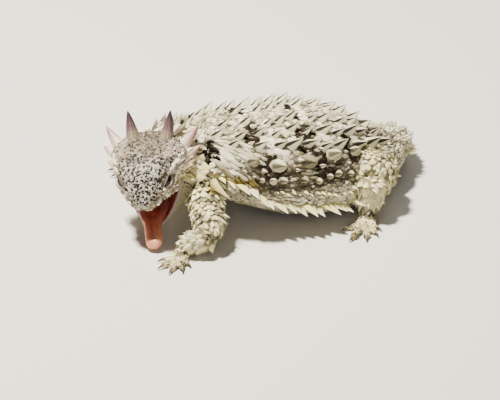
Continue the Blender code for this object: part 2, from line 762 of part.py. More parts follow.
def floor_cutter():
    bm = bmesh.new()
    bmesh.ops.create_cube(bm, size=1.0)
    block = Vector(FLOOR_BLOCK) * MM
    bm.transform(Matrix.Translation((0, 0, -block.z / 2)) @ Matrix.Diagonal((*block, 1.0)))
    return object_of("floor_cutter", bm, CUTTERS)


def apply_boolean(obj, operation, target=None, collection=None, solver="EXACT"):
    modifier = obj.modifiers.new(operation.lower(), "BOOLEAN")
    modifier.operation = operation
    modifier.solver = solver
    if collection:
        modifier.operand_type = "COLLECTION"
        modifier.collection = collection
    else:
        modifier.object = target
    graph = bpy.context.evaluated_depsgraph_get()
    mesh = bpy.data.meshes.new_from_object(obj.evaluated_get(graph))
    obj.modifiers.clear()
    old = obj.data
    obj.data = mesh
    bpy.data.meshes.remove(old)


def bulk(island):
    """How large an island of vertices is: its plan area times its count of vertices."""
    xs = [v.co.x for v in island]
    ys = [v.co.y for v in island]
    return (max(xs) - min(xs)) * (max(ys) - min(ys)) * len(island)


def keep_largest(obj):
    """Leaves only the largest closed surface, and makes every face a triangle."""
    bm = bmesh.new()
    bm.from_mesh(obj.data)
    bmesh.ops.dissolve_degenerate(bm, edges=bm.edges, dist=1e-6)
    bm.verts.ensure_lookup_table()
    unseen = set(bm.verts)
    islands = []
    while unseen:
        stack = [unseen.pop()]
        island = set(stack)
        while stack:
            for edge in stack.pop().link_edges:
                for v in edge.verts:
                    if v in unseen:
                        unseen.discard(v)
                        island.add(v)
                        stack.append(v)
        islands.append(island)
    biggest = max(islands, key=bulk)
    bmesh.ops.delete(bm, geom=[v for v in bm.verts if v not in biggest], context="VERTS")
    bmesh.ops.triangulate(bm, faces=bm.faces)
    bmesh.ops.recalc_face_normals(bm, faces=bm.faces)
    bm.to_mesh(obj.data)
    bm.free()


def join_pieces(obj, pieces, solver="EXACT"):
    """Joins closed meshes to the object with one union on a collection."""
    group = bpy.data.collections.new(obj.name + "_pieces")
    bpy.context.scene.collection.children.link(group)
    for n, bm in enumerate(pieces):
        piece = object_of(f"{obj.name}_piece_{n}", bm)
        collection_named(PARTS).objects.unlink(piece)
        group.objects.link(piece)
    apply_boolean(obj, "UNION", collection=group, solver=solver)
    for piece in list(group.objects):
        bpy.data.objects.remove(piece)
    bpy.data.collections.remove(group)


def paint(obj, tone, roughness=0.75):
    material = bpy.data.materials.new(obj.name + "_finish")
    material.use_nodes = True
    shader = material.node_tree.nodes["Principled BSDF"]
    shader.inputs["Base Color"].default_value = tone
    shader.inputs["Roughness"].default_value = roughness
    obj.data.materials.clear()
    obj.data.materials.append(material)


def leg_forms():
    """Every limb length, named, with the mesh detail it gets: name to (form, rings, around)."""
    forms = {}
    for side, joints in LEGS.items():
        out = (1, 0, 0.4) if side == "left" else (-1, 0, 0.4)
        lengths = (
            ("upper_arm", "shoulder", "elbow", UPPER_ARM_SIZES, (0, 0, 1), 9, 12),
            ("forearm", "elbow", "wrist", FOREARM_SIZES, out, 8, 11),
            ("thigh", "hip", "knee", THIGH_SIZES, (0, 0, 1), 9, 13),
            ("shank", "knee", "ankle", SHANK_SIZES, out, 8, 11),
        )
        for name, root, end, sizes, up, rings, around in lengths:
            form = limb_form(joints[root], joints[end], *sizes, up=up)
            forms[f"{name}_{side}"] = (form, rings, around)
    return forms


def paw_pieces(joint, heading, pad_length, half_width, digits):
    pad = paw_form(joint, heading, pad_length, half_width).mesh(6, 8)
    pieces = []
    for digit in digits:
        pieces.append(digit_form(joint, heading, pad_length, *digit).mesh(4, 5))
        pieces.append(claw_mesh(joint, heading, pad_length, *digit[:2]))
    return pad, pieces


def build():
    rng = np.random.default_rng(SEED)
    trunk, neck, head, jaw = trunk_form(), neck_form(), head_form(), jaw_form()
    tongue, tail = tongue_form(), tail_form()
    tail_split = 0.56
    half_gap = GAP / tail.length / 2
    flesh = {
        "torso": trunk.mesh(22, 30),
        "head": head.mesh(16, 22),
        "jaw": jaw.mesh(14, 18),
        "neck": neck.mesh(9, 20),
        "tongue": tongue.mesh(12, 10),
        "tail_base": tail.mesh(8, 16, tail_split + half_gap, 1.0),
        "tail_tip": tail.mesh(11, 12, 0.0, tail_split - half_gap),
    }
    forms = leg_forms()
    flesh.update({name: form.mesh(rings, around) for name, (form, rings, around) in forms.items()})
    extras = {}
    for side, joints in LEGS.items():
        turn = 1 if side == "left" else -1
        fingers = [(a * turn, n, r) for a, n, r in FINGERS]
        toes = [(a * turn, n, r) for a, n, r in TOES]
        flesh[f"hand_{side}"], extras[f"hand_{side}"] = paw_pieces(
            joints["wrist"], joints["hand_heading"], PALM_LENGTH, 2.6, fingers)
        flesh[f"foot_{side}"], extras[f"foot_{side}"] = paw_pieces(
            joints["ankle"], joints["foot_heading"], SOLE_LENGTH, 2.7, toes)
    extras["head"] = [lid_mesh(side, lift) for side in (1, -1) for lift in LID_LIFTS]
    extras["head"].append(rim_mesh(head, *LIP_AT, 0.5, 0.45))
    extras["jaw"] = [rim_mesh(jaw, *JAW_RIM_AT, 0.5, 0.4)]
    grounds = {name: Ground(bm) for name, bm in flesh.items()}

    thorns = {
        "torso": trunk_thorns(trunk, rng),
        "tail_base": tail_thorns(tail, tail_split + 0.03, 0.86, rng),
        "tail_tip": tail_thorns(tail, 0.06, tail_split - 0.03, rng),
        "head": head_thorns(head, rng),
        "jaw": jaw_thorns(jaw),
        "neck": neck_thorns(neck, rng),
    }
    for side in LEGS:
        for name, (rows, mirrored, size) in LIMB_THORN_ROWS.items():
            if mirrored and side == "right":
                rows = [(180 - degrees, start, end, count) for degrees, start, end, count in rows]
            thorns[f"{name}_{side}"] = limb_thorns(forms[f"{name}_{side}"][0], rows, rng, size)

    horns = {}
    for name, root, tip, radius, tone in HORNS:
        for side, turn in (("left", 1), ("right", -1)):
            horns[f"{name}_{side}"] = (horn_mesh(root, tip, radius, turn), tone)
    horn_grounds = {name: Ground(bm) for name, (bm, _) in horns.items()}
    eyes = {f"eye_{side}": eye_mesh(turn) for side, turn in (("left", 1), ("right", -1))}
    eye_grounds = {name: Ground(bm) for name, bm in eyes.items()}

    accepted = {}
    everything = {**grounds, **horn_grounds, **eye_grounds}
    for name, listed in thorns.items():
        others = [t for kept in accepted.values() for t in kept]
        accepted[name] = [
            t
            for t in listed
            if min(t["tip"][2], t["root"][2]) > LEAST_CLEARANCE_OF_FLOOR
            and clear_of_flesh(t, everything, name)
            and clear_of_thorns(t, others)
        ]

    # Which grown neighbours cut each part, in the order in which the parts are made
    cutters = {
        "torso": (),
        "head": ("eye_left", "eye_right"),
        "jaw": ("head",),
        "neck": ("torso", "head", "jaw"),
        "tongue": ("head", "jaw", "neck"),
        "tail_base": ("torso",),
        "tail_tip": (),
    }
    for side in LEGS:
        cutters[f"upper_arm_{side}"] = ("torso", "neck")
        cutters[f"forearm_{side}"] = (f"upper_arm_{side}", "torso")
        cutters[f"hand_{side}"] = (f"forearm_{side}",)
        cutters[f"thigh_{side}"] = ("torso", "tail_base")
        cutters[f"shank_{side}"] = (f"thigh_{side}", "torso")
        cutters[f"foot_{side}"] = (f"shank_{side}",)
    horn_cutters = ("head", "neck")

    sources = {**flesh, **eyes}
    wanted = sorted({c for names in cutters.values() for c in names} | set(horn_cutters))
    grown = {name: grown_object("grown_" + name, sources[name]) for name in wanted}
    floor = floor_cutter()
    pits = [
        object_of("pit", pit_mesh(place, side, radius, depth), CUTTERS)
        for place, radius, depth in (NOSTRIL, EAR)
        for side in (1, -1)
    ]
    paws = [f"{paw}_{side}" for paw in ("hand", "foot") for side in LEGS]
    grounded = ("torso", "tail_base", "tail_tip", *paws)
    for name, bm in flesh.items():
        obj = object_of(name, bm)
        pieces = [thorn_mesh(t) for t in accepted.get(name, [])] + extras.get(name, [])
        if pieces:
            join_pieces(obj, pieces)
        for other in cutters[name]:
            apply_boolean(obj, "DIFFERENCE", target=grown[other])
        if name in grounded:
            apply_boolean(obj, "DIFFERENCE", target=floor)
        if name == "head":
            for pit in pits:
                apply_boolean(obj, "DIFFERENCE", target=pit)
        keep_largest(obj)
        paint(obj, FLESH_TONES.get(name, SKIN_TONE))
    for name, (bm, tone) in horns.items():
        obj = object_of(name, bm)
        for other in horn_cutters:
            apply_boolean(obj, "DIFFERENCE", target=grown[other], solver="MANIFOLD")
        keep_largest(obj)
        paint(obj, tone, 0.5)
    for name, bm in eyes.items():
        obj = object_of(name, bm)
        keep_largest(obj)
        paint(obj, EYE_TONE, 0.1)
    for helper in [*grown.values(), *pits, floor]:
        bpy.data.objects.remove(helper)


clear_scene()
build()
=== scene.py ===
"""Looks of a life-size horned lizard with its mouth open: skin, thorns, scales, horns, eyes and tongue.

The animal faces -Y with its left side towards +X and stands on z = 0. Shapes are worked out in millimetres
and turned to metres where a mesh is made.
"""

import math
from types import SimpleNamespace

import bmesh
import bpy
import numpy as np
from bpy.props import FloatProperty, FloatVectorProperty, IntProperty, PointerProperty
from mathutils import Matrix, Vector
from mathutils.bvhtree import BVHTree
from mathutils.kdtree import KDTree


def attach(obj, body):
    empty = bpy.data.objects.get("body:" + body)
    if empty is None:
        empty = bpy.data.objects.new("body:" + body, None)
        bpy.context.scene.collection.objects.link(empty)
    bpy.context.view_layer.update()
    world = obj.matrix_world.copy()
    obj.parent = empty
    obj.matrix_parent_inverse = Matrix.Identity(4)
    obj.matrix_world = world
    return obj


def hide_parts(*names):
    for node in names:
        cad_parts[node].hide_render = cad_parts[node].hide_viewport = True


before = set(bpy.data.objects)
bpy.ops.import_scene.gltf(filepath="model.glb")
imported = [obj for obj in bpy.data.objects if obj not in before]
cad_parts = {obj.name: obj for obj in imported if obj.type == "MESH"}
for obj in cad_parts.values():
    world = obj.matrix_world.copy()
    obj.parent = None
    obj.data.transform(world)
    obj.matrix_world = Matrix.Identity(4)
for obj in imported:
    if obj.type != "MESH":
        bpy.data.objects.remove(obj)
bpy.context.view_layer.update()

bl_info = {
    "name": "Horned lizard",
    "version": (1, 0, 0),
    "blender": (4, 5, 0),
    "location": "3D View > Sidebar > Lizard",
    "description": "Builds the skin, thorns, scales, horns, eyes and tongue of a horned lizard",
    "category": "Object",
}

MM = 0.001
# How far scales stay off the floor, in millimetres
FLOOR_GAP = 0.02
# Millimetres between the rows of places in the atlas
ATLAS_STEP = 1.6
# Half the width of a scale's own patch on the unwrap
MAP_PATCH = 0.0015
BODY = "root"
# The hide's colours, as linear numbers, read from the scene's settings before each build
HUES = SimpleNamespace()

# Sizes of the body, as the solids have them
SNOUT_VENT = 80.0
TRUNK_LENGTH = 0.825 * SNOUT_VENT
TRUNK_REAR_Y = 0.4625 * SNOUT_VENT
TRUNK_HALF_WIDTH = 0.29 * SNOUT_VENT
HEAD_HALF_WIDTH = 0.132 * SNOUT_VENT
HEAD_AT = (2.0, -39.5, 22.0)
HEAD_YAW = 62.0
HEAD_PITCH = 25.0
HEAD_ROLL = 6.8
GAPE = 40.0
JAW_HINGE = (2.5, -4.6)
EYE_AT = (10.7, 5.9, 1.8)
EYE_RADIUS = 2.3


def grid_of(rows, columns):
    """Every pair of a row's and a column's value, as two flat arrays."""
    return (values.ravel() for values in np.meshgrid(rows, columns, indexing="ij"))


def unit(vector):
    """Vectors of the same directions and of length 1."""
    vector = np.asarray(vector, float)
    return vector / np.maximum(np.linalg.norm(vector, axis=-1, keepdims=True), 1e-12)


def dot(a, b):
    """The dot product of each pair of vectors, as a column."""
    return np.sum(a * b, axis=-1, keepdims=True)


def linear(code):
    """An sRGB hex colour as three linear numbers."""
    value = np.array([int(code[i:i + 2], 16) for i in (0, 2, 4)]) / 255.0
    return np.where(value <= 0.04045, value / 12.92, ((value + 0.055) / 1.055) ** 2.4)


def mix(a, b, share):
    """Blends colours a and b by a share per point."""
    share = np.asarray(share, float)[..., None]
    return a * (1.0 - share) + b * share


def ramp(low, high, value):
    """0 below low, 1 above high, and a smooth step between them."""
    t = np.clip((value - low) / (high - low), 0.0, 1.0)
    return t * t * (3.0 - 2.0 * t)


def blend_of(codes, keys, value):
    """The colour at each value between hex colours that stand at keys."""
    tones = np.array([linear(code) for code in codes])
    return np.stack([np.interp(value, keys, tones[:, k]) for k in range(3)], -1)


def hashed(cells, salt):
    """A random number from 0 to 1 for each whole-number cell, from its three numbers times large primes."""
    n = cells[..., 0] * 73856093 ^ cells[..., 1] * 19349663 ^ cells[..., 2] * 83492791 ^ (salt * 9176263)
    n = (n & 0x7FFFFFFF) * 1274126177 & 0x7FFFFFFFFFFF
    n = (n >> 15) ^ n
    return (n & 0xFFFFFF) / float(0xFFFFFF)


def grain(points, size, salt=0):
    """Soft noise from 0 to 1: random numbers on a cubic lattice, blended between the eight corners."""
    scaled = points / size
    low = np.floor(scaled).astype(np.int64)
    part = scaled - low
    part = part * part * (3.0 - 2.0 * part)
    total = np.zeros(len(points))
    for corner in range(8):
        step = np.array([corner & 1, corner >> 1 & 1, corner >> 2 & 1])
        weight = np.prod(np.where(step, part, 1.0 - part), axis=-1)
        total += weight * hashed(low + step, salt)
    return total


def cobble(points, size, salt=0, spread=0.8):
    """Distances, in cell sizes, to the nearest and the second nearest of points scattered one to a cube.

    The third array is a random number that belongs to the nearest point.
    """
    scaled = points / size
    low = np.floor(scaled).astype(np.int64)
    first = np.full(len(points), 9.0)
    second = np.full(len(points), 9.0)
    owner = np.zeros(len(points))
    for x in (-1, 0, 1):
        for y in (-1, 0, 1):
            for z in (-1, 0, 1):
                cell = low + np.array([x, y, z])
                jitter = np.stack([hashed(cell, salt + k) for k in (1, 2, 3)], axis=-1)
                centre = cell + 0.5 + (jitter - 0.5) * spread
                away = np.linalg.norm(scaled - centre, axis=-1)
                nearer = away < first
                second = np.where(nearer, first, np.minimum(second, away))
                owner = np.where(nearer, hashed(cell, salt + 7), owner)
                first = np.where(nearer, away, first)
    return first, second, owner


def smooth_curve(keys, values, at):
    """A cubic curve through the values at the keys, read at the places asked for."""
    keys = np.asarray(keys, float)
    values = np.asarray(values, float)
    at = np.clip(np.atleast_1d(np.asarray(at, float)), keys[0], keys[-1])
    slopes = np.gradient(values, keys, axis=0)
    left = np.clip(np.searchsorted(keys, at, side="right") - 1, 0, len(keys) - 2)
    span = keys[left + 1] - keys[left]
    s = (at - keys[left]) / span
    shape = (-1,) + (1,) * (values.ndim - 1)
    s = s.reshape(shape)
    span = span.reshape(shape)
    return (
        (2 * s**3 - 3 * s**2 + 1) * values[left]
        + (s**3 - 2 * s**2 + s) * span * slopes[left]
        + (3 * s**2 - 2 * s**3) * values[left + 1]
        + (s**3 - s**2) * span * slopes[left + 1]
    )


class Sweep:
    """A form swept along a smooth path, travelling towards the head or away from a limb's root.

    Each station is (centre, half width, height above, height below). A section is a squared ellipse with
    its own squareness under the widest line: x = cos|cos|^(p-1) * width and z = sin|sin|^(p-1) * height,
    where p is 2 / squareness. Angle 0 is the left side, 90 the top and 270 the bottom.
    """

    def __init__(self, stations, up=(0, 0, 1), squareness=2.2, under=None):
        centres = np.array([s[0] for s in stations], float)
        steps = np.linalg.norm(np.diff(centres, axis=0), axis=1)
        self.keys = np.concatenate([[0.0], np.cumsum(steps)]) / steps.sum()
        self.length = float(steps.sum())
        self.centres = centres
        self.sizes = np.array([s[1:4] for s in stations], float)
        self.up = unit(up)
        self.powers = 2.0 / squareness, 2.0 / (under or squareness)

    def shrunk(self, by):
        """The same form with its skin drawn in by a few tenths of a millimetre."""
        copy = Sweep([(c, *s) for c, s in zip(self.centres, np.maximum(self.sizes - by, 0.3))])
        copy.up, copy.powers = self.up, self.powers
        return copy

    def points(self, along, degrees):
        """Places on the surface at shares of the path's length and angles round it."""
        along = np.atleast_1d(np.asarray(along, float))
        angle = np.radians(np.atleast_1d(np.asarray(degrees, float)))
        ahead = smooth_curve(self.keys, self.centres, np.clip(along + 0.004, 0, 1))
        behind = smooth_curve(self.keys, self.centres, np.clip(along - 0.004, 0, 1))
        travel = unit(ahead - behind)
        side = unit(np.cross(np.broadcast_to(self.up, travel.shape), travel))
        up = np.cross(travel, side)
        wide, above, below = smooth_curve(self.keys, self.sizes, along).T
        cos, sin = np.cos(angle), np.sin(angle)
        power = np.where(sin > 0, *self.powers)
        x = np.sign(cos) * np.abs(cos) ** power * wide
        z = np.sign(sin) * np.abs(sin) ** power * np.where(sin > 0, above, below)
        return smooth_curve(self.keys, self.centres, along) + side * x[:, None] + up * z[:, None]

    def lie(self, along, degrees):
        """(points, outward normals, directions back along the path) for arrays of places on the surface."""
        along, degrees = np.broadcast_arrays(np.atleast_1d(np.asarray(along, float)), degrees)
        here = self.points(along, degrees)
        forward = self.points(np.minimum(along + 0.01, 1), degrees)
        forward = forward - self.points(np.maximum(along - 0.01, 0), degrees)
        around = self.points(along, degrees + 3.0) - self.points(along, degrees - 3.0)
        out = unit(np.cross(around, forward))
        return here, out, -unit(forward - out * dot(forward, out))

    def grid(self, along, degrees):
        """Grid of points, one row for each place along and one column for each angle."""
        return self.points(*grid_of(along, degrees)).reshape(len(along), len(degrees), 3)


def head_axes():
    """(forward, left, up) of the head, from its yaw to the left, its pitch down and its roll."""
    yaw, pitch, roll = (math.radians(a) for a in (HEAD_YAW, HEAD_PITCH, HEAD_ROLL))
    forward = np.array([math.sin(yaw) * math.cos(pitch), -math.cos(yaw) * math.cos(pitch), -math.sin(pitch)])
    level = unit(np.cross((0, 0, 1), forward))
    left = level * math.cos(roll) + np.cross(forward, level) * math.sin(roll)
    return forward, left, np.cross(forward, left)


def jaw_axes():
    """(down the jaw, left, up) of the lower jaw: the head's axes turned by the gape."""
    forward, left, up = head_axes()
    gape = math.radians(GAPE)
    down = forward * math.cos(gape) - up * math.sin(gape)
    return down, left, np.cross(down, left)


def in_head(place):
    """Points given as (forward, left, up) in the head's own frame, in the object's frame."""
    place = np.asarray(place, float)
    axes = np.array(head_axes())
    return np.array(HEAD_AT) + place @ axes


def of_head(points):
    """Points of the object's frame as (forward, left, up) in the head's own frame."""
    return (points - np.array(HEAD_AT)) @ np.array(head_axes()).T


def cheek_sag(points):
    """How the cheek's lower edge hangs below its plain form, most under the eye and not at the snout."""
    f, l, u = of_head(points).T
    share = ramp(5.0, 8.5, f) * ramp(15.5, 10.5, f) * ramp(2.0, 4.0, np.abs(l)) * ramp(0.3, -0.9, u)
    _, left, up = head_axes()
    return (left * np.sign(l)[:, None] * CHEEK_OUT - up * CHEEK_DOWN) * share[:, None]


def trunk_form():
    """Trunk rows: share of length, bend to the right, share of half width, back, belly and widest line."""
    shares = (
        (0.000, -4.6, 0.25, 13.2, 5.0, 9.2),
        (0.020, -3.8, 0.36, 14.9, 3.6, 8.8),
        (0.080, -2.1, 0.50, 18.2, 1.0, 7.6),
        (0.180, -0.7, 0.68, 21.8, -0.6, 6.6),
        (0.300, 0.0, 0.89, 24.9, -1.0, 6.4),
        (0.440, 0.0, 1.03, 27.2, -1.0, 7.2),
        (0.580, 0.0, 1.01, 28.6, -0.6, 8.8),
        (0.710, 0.0, 0.96, 29.2, 2.8, 11.0),
        (0.820, 0.0, 0.88, 29.4, 5.8, 13.6),
        (0.910, 0.0, 0.78, 29.2, 8.0, 15.4),
        (0.980, 0.0, 0.62, 28.0, 10.0, 16.6),
        (1.000, 0.0, 0.46, 26.0, 12.0, 17.2),
    )
    stations = [
        ((bend, TRUNK_REAR_Y - share * TRUNK_LENGTH, middle),
         wide * TRUNK_HALF_WIDTH, back - middle, middle - belly)
        for share, bend, wide, back, belly, middle in shares
    ]
    return Sweep(stations, squareness=2.15, under=1.6)


def neck_form():
    """Neck, travelling from the shoulders to the back of the head."""
    stations = (
        ((-1.0, -20.0, 17.0), 9.0, 7.5, 8.0),
        ((-2.4, -27.0, 18.8), 12.4, 8.2, 8.8),
        ((-3.2, -33.0, 20.4), 10.2, 7.0, 8.4),
        ((-0.6, -37.6, 21.0), 8.4, 5.4, 6.8),
        ((1.6, -40.4, 20.8), 6.0, 4.0, 5.0),
    )
    return Sweep(stations, squareness=2.2)


def head_form():
    """Head rows: forward, half width share, top, bottom and widest line in the head's own frame."""
    shares = (
        (-4.6, 0.46, 3.0, -4.0, -0.4),
        (-3.8, 0.72, 4.4, -5.2, 0.2),
        (-1.6, 0.97, 5.6, -6.2, 1.0),
        (1.2, 1.03, 6.3, -6.2, 1.4),
        (4.0, 0.97, 6.8, -5.0, 1.8),
        (7.0, 0.86, 7.0, -3.9, 2.3),
        (9.8, 0.79, 6.7, -3.6, 2.6),
        (12.0, 0.69, 5.6, -3.5, 1.8),
        (14.2, 0.57, 3.7, -3.4, 0.2),
        (16.3, 0.42, 2.0, -3.2, -0.9),
        (17.9, 0.26, 0.5, -2.9, -1.4),
        (18.7, 0.12, -0.7, -2.4, -1.6),
    )
    stations = [
        (in_head((ahead, 0.0, middle)), wide * HEAD_HALF_WIDTH, top - middle, middle - bottom)
        for ahead, wide, top, bottom, middle in shares
    ]
    return Sweep(stations, up=head_axes()[2], squareness=2.5)


def jaw_hinge():
    """The middle of the lower jaw's hinge."""
    return in_head((JAW_HINGE[0], 0.0, JAW_HINGE[1]))


def jaw_form():
    """Lower jaw rows: ahead of the hinge, half width, height above and below."""
    shares = (
        (-3.4, 5.4, 0.2, 1.4),
        (-2.4, 7.6, 0.8, 2.6),
        (0.5, 8.9, 1.1, 3.3),
        (4.0, 8.5, 0.9, 3.2),
        (7.5, 7.3, 0.8, 2.9),
        (10.8, 5.7, 0.7, 2.5),
        (13.4, 3.9, 0.6, 2.0),
        (15.0, 2.2, 0.5, 1.4),
        (15.7, 1.0, 0.3, 0.8),
    )
    down, _, up = jaw_axes()
    hinge = jaw_hinge()
    return Sweep([(hinge + down * a - up * 0.6, w, t, b) for a, w, t, b in shares], up=up, squareness=2.6)


def tongue_form():
    """Tongue, from the floor of the mouth over the jaw's rim and down to the ground in front."""
    down, _, up = jaw_axes()
    hinge = jaw_hinge()
    stations = (
        (hinge + down * 3.6 + up * 0.9, 1.8, 0.8, 0.8),
        (hinge + down * 4.8 + up * 1.3, 3.6, 1.5, 1.3),
        (hinge + down * 8.6 + up * 1.4, 3.5, 1.6, 1.4),
        ((10.4, -42.3, 6.9), 3.0, 1.6, 1.4),
        ((14.0, -43.8, 4.4), 2.5, 1.5, 1.4),
        ((16.8, -44.9, 2.7), 2.7, 1.4, 1.3),
        ((18.6, -45.7, 1.8), 2.2, 1.1, 1.0),
        ((19.3, -46.0, 1.4), 1.2, 0.5, 0.5),
    )
    return Sweep(stations, up=up, squareness=2.1)


def tail_form():
    """Tail, travelling to the vent: broad there and quickly slim, curled away to the animal's right."""
    stations = (
        ((-37.2, 38.8, 1.0), 0.7, 0.7, 1.3),
        ((-36.0, 39.6, 1.1), 1.2, 1.1, 1.5),
        ((-30.0, 42.4, 1.6), 2.2, 1.9, 2.0),
        ((-22.6, 43.8, 2.5), 3.2, 2.9, 2.8),
        ((-16.0, 43.6, 3.9), 4.3, 4.1, 4.1),
        ((-10.4, 42.0, 5.9), 5.6, 5.2, 4.8),
        ((-6.4, 38.8, 7.9), 6.8, 6.2, 5.0),
        ((-3.0, 33.6, 9.2), 7.4, 6.6, 5.2),
    )
    return Sweep(stations, squareness=2.2)


def limb_form(root, end, root_size, end_size, swell=1.12):
    """A limb length that swells a little before its middle. A size is (half width, half height)."""
    root, end = np.array(root, float), np.array(end, float)
    middle_size = np.array(root_size) * 0.55 + np.array(end_size) * 0.45
    rows = (
        (0.00, np.array(root_size) * 0.60),
        (0.08, np.array(root_size) * 0.94),
        (0.42, middle_size * swell),
        (0.92, np.array(end_size) * 0.97),
        (1.00, np.array(end_size) * 0.60),
    )
    return Sweep([(root + (end - root) * share, s[0], s[1], s[1]) for share, s in rows], squareness=2.1)


LEGS = {
    "left": {
        "shoulder": (11.0, -26.6, 12.4),
        "elbow": (26.5, -29.8, 5.9),
        "wrist": (23.8, -37.2, 2.6),
        "hand_heading": (0.75, -0.66),
        "hip": (8.0, 27.0, 9.0),
        "knee": (20.0, 21.6, 12.4),
        "ankle": (21.4, 21.0, 3.0),
        "foot_heading": (0.85, -0.52),
    },
    "right": {
        "shoulder": (-11.0, -24.0, 12.8),
        "elbow": (-25.2, -22.0, 7.0),
        "wrist": (-26.8, -31.0, 2.6),
        "hand_heading": (-0.45, -0.89),
        "hip": (-8.0, 27.0, 9.0),
        "knee": (-21.6, 21.6, 11.2),
        "ankle": (-27.0, 28.4, 2.8),
        "foot_heading": (-0.80, -0.60),
    },
}
# Lengths of a limb as (name, joint at its root, joint at its end, half widths and half heights there)
LIMB_PARTS = (
    ("upper_arm_", "shoulder", "elbow", ((4.8, 4.6), (3.3, 3.2))),
    ("forearm_", "elbow", "wrist", ((3.1, 3.1), (2.2, 2.1))),
    ("thigh_", "hip", "knee", ((6.8, 6.4), (5.2, 5.2))),
    ("shank_", "knee", "ankle", ((4.3, 4.2), (2.6, 2.5))),
)
# Fingers and toes: angle from the foot's heading, length, root radius
FINGERS = ((58, 4.2, 0.95), (30, 6.4, 1.0), (4, 7.4, 1.0), (-24, 6.6, 1.0), (-56, 4.6, 0.95))
TOES = ((62, 4.0, 1.0), (36, 6.2, 1.05), (10, 8.4, 1.1), (-16, 9.8, 1.1), (-52, 6.2, 1.0))
CLAW_LENGTH = 2.0
PALM_LENGTH, PALM_HALF_WIDTH = 5.2, 2.7
SOLE_LENGTH, SOLE_HALF_WIDTH = 7.0, 3.0


def turned(heading, degrees):
    """A level heading turned to the left by an angle, as a unit vector."""
    cos, sin = math.cos(math.radians(degrees)), math.sin(math.radians(degrees))
    x, y = unit(np.array(heading))
    return np.array([x * cos - y * sin, x * sin + y * cos, 0.0])


def paw_form(ankle, heading, length, half_width):
    """The palm or sole: a flat pad that lies on the ground and reaches back up to the ankle."""
    ankle = np.array(ankle, float)
    ahead = turned(heading, 0)
    ground = ankle * (1, 1, 0)
    stations = (
        (ankle - ahead * 1.6 + (0, 0, 0.4), half_width * 0.45, 1.2, 1.4),
        (ankle - ahead * 0.8 + (0, 0, 0.2), half_width * 0.66, 1.9, 2.2),
        (ankle + ahead * length * 0.25 - (0, 0, 0.5), half_width * 0.80, 1.8, 2.3),
        (ground + ahead * length * 0.66 + (0, 0, 1.2), half_width, 1.2, 1.5),
        (ground + ahead * length * 0.98 + (0, 0, 0.9), half_width * 0.78, 0.9, 1.1),
        (ground + ahead * length * 1.08 + (0, 0, 0.8), half_width * 0.40, 0.6, 0.8),
    )
    return Sweep(stations, squareness=2.3)


def digit_form(ankle, heading, pad_length, degrees, length, radius):
    """One finger or toe, arched a little and flat to the ground at its end."""
    away = turned(heading, degrees)
    start = np.array(ankle, float) * (1, 1, 0) + turned(heading, 0) * pad_length * 0.72 + (0, 0, 0.95)
    stations = (
        (start, radius * 0.8, radius * 0.8, radius * 0.8),
        (start + away * length * 0.25 + (0, 0, 0.25), radius, radius, radius * 1.1),
        (start + away * length * 0.65 - (0, 0, 0.05), radius * 0.86, radius * 0.9, radius * 1.0),
        (start + away * length * 0.96 - (0, 0, 0.25), radius * 0.66, radius * 0.7, radius * 0.8),
        (start + away * length - (0, 0, 0.25), radius * 0.36, radius * 0.4, radius * 0.5),
    )
    return Sweep(stations, squareness=2.0)


def paws():
    """(name, ankle, heading, pad length, half width, digits, way they turn) of the hands and feet."""
    for side, leg in LEGS.items():
        way = 1 if side == "left" else -1
        yield "hand_" + side, leg["wrist"], leg["hand_heading"], PALM_LENGTH, PALM_HALF_WIDTH, FINGERS, way
        yield "foot_" + side, leg["ankle"], leg["foot_heading"], SOLE_LENGTH, SOLE_HALF_WIDTH, TOES, way


TRUNK, NECK, HEAD, JAW, TAIL, LIMB, PAW = range(7)


def body_forms():
    """Every form of flesh as (name, kind, form)."""
    forms = [("trunk", TRUNK, trunk_form()), ("neck", NECK, neck_form()), ("head", HEAD, head_form())]
    forms += [("jaw", JAW, jaw_form()), ("tail", TAIL, tail_form())]
    for side, leg in LEGS.items():
        for part, root, end, sizes in LIMB_PARTS:
            forms.append((part + side, LIMB, limb_form(leg[root], leg[end], *sizes)))
    for name, ankle, heading, length, wide, digits, way in paws():
        forms.append((name, PAW, paw_form(ankle, heading, length, wide)))
        for k, (degrees, reach, radius) in enumerate(digits):
            digit = digit_form(ankle, heading, length, degrees * way, reach, radius)
            forms.append((f"{name}_{k}", PAW, digit))
    return forms


def form_of(name):
    """The form of flesh that has this name."""
    return next(form for known, _, form in STATE["forms"] if known == name)


def sheet_faces(rows, columns, closed):
    """Quads of a grid of rows by columns; closed joins the last column to the first."""
    r, c = np.meshgrid(np.arange(rows - 1), np.arange(columns if closed else columns - 1), indexing="ij")
    n = (c + 1) % columns
    this, ahead = r * columns, (r + 1) * columns
    return np.stack([this + c, this + n, ahead + n, ahead + c], -1).reshape(-1, 4)


def tube_faces(rows, columns):
    """Quads of a closed tube and the triangles that close its two ends on two last points."""
    c = np.arange(columns)
    n = (c + 1) % columns
    first, last = rows * columns, rows * columns + 1
    start = np.stack([np.full(columns, first), n, c], -1)
    base = (rows - 1) * columns
    end = np.stack([np.full(columns, last), base + c, base + n], -1)
    return sheet_faces(rows, columns, True), np.concatenate([start, end])


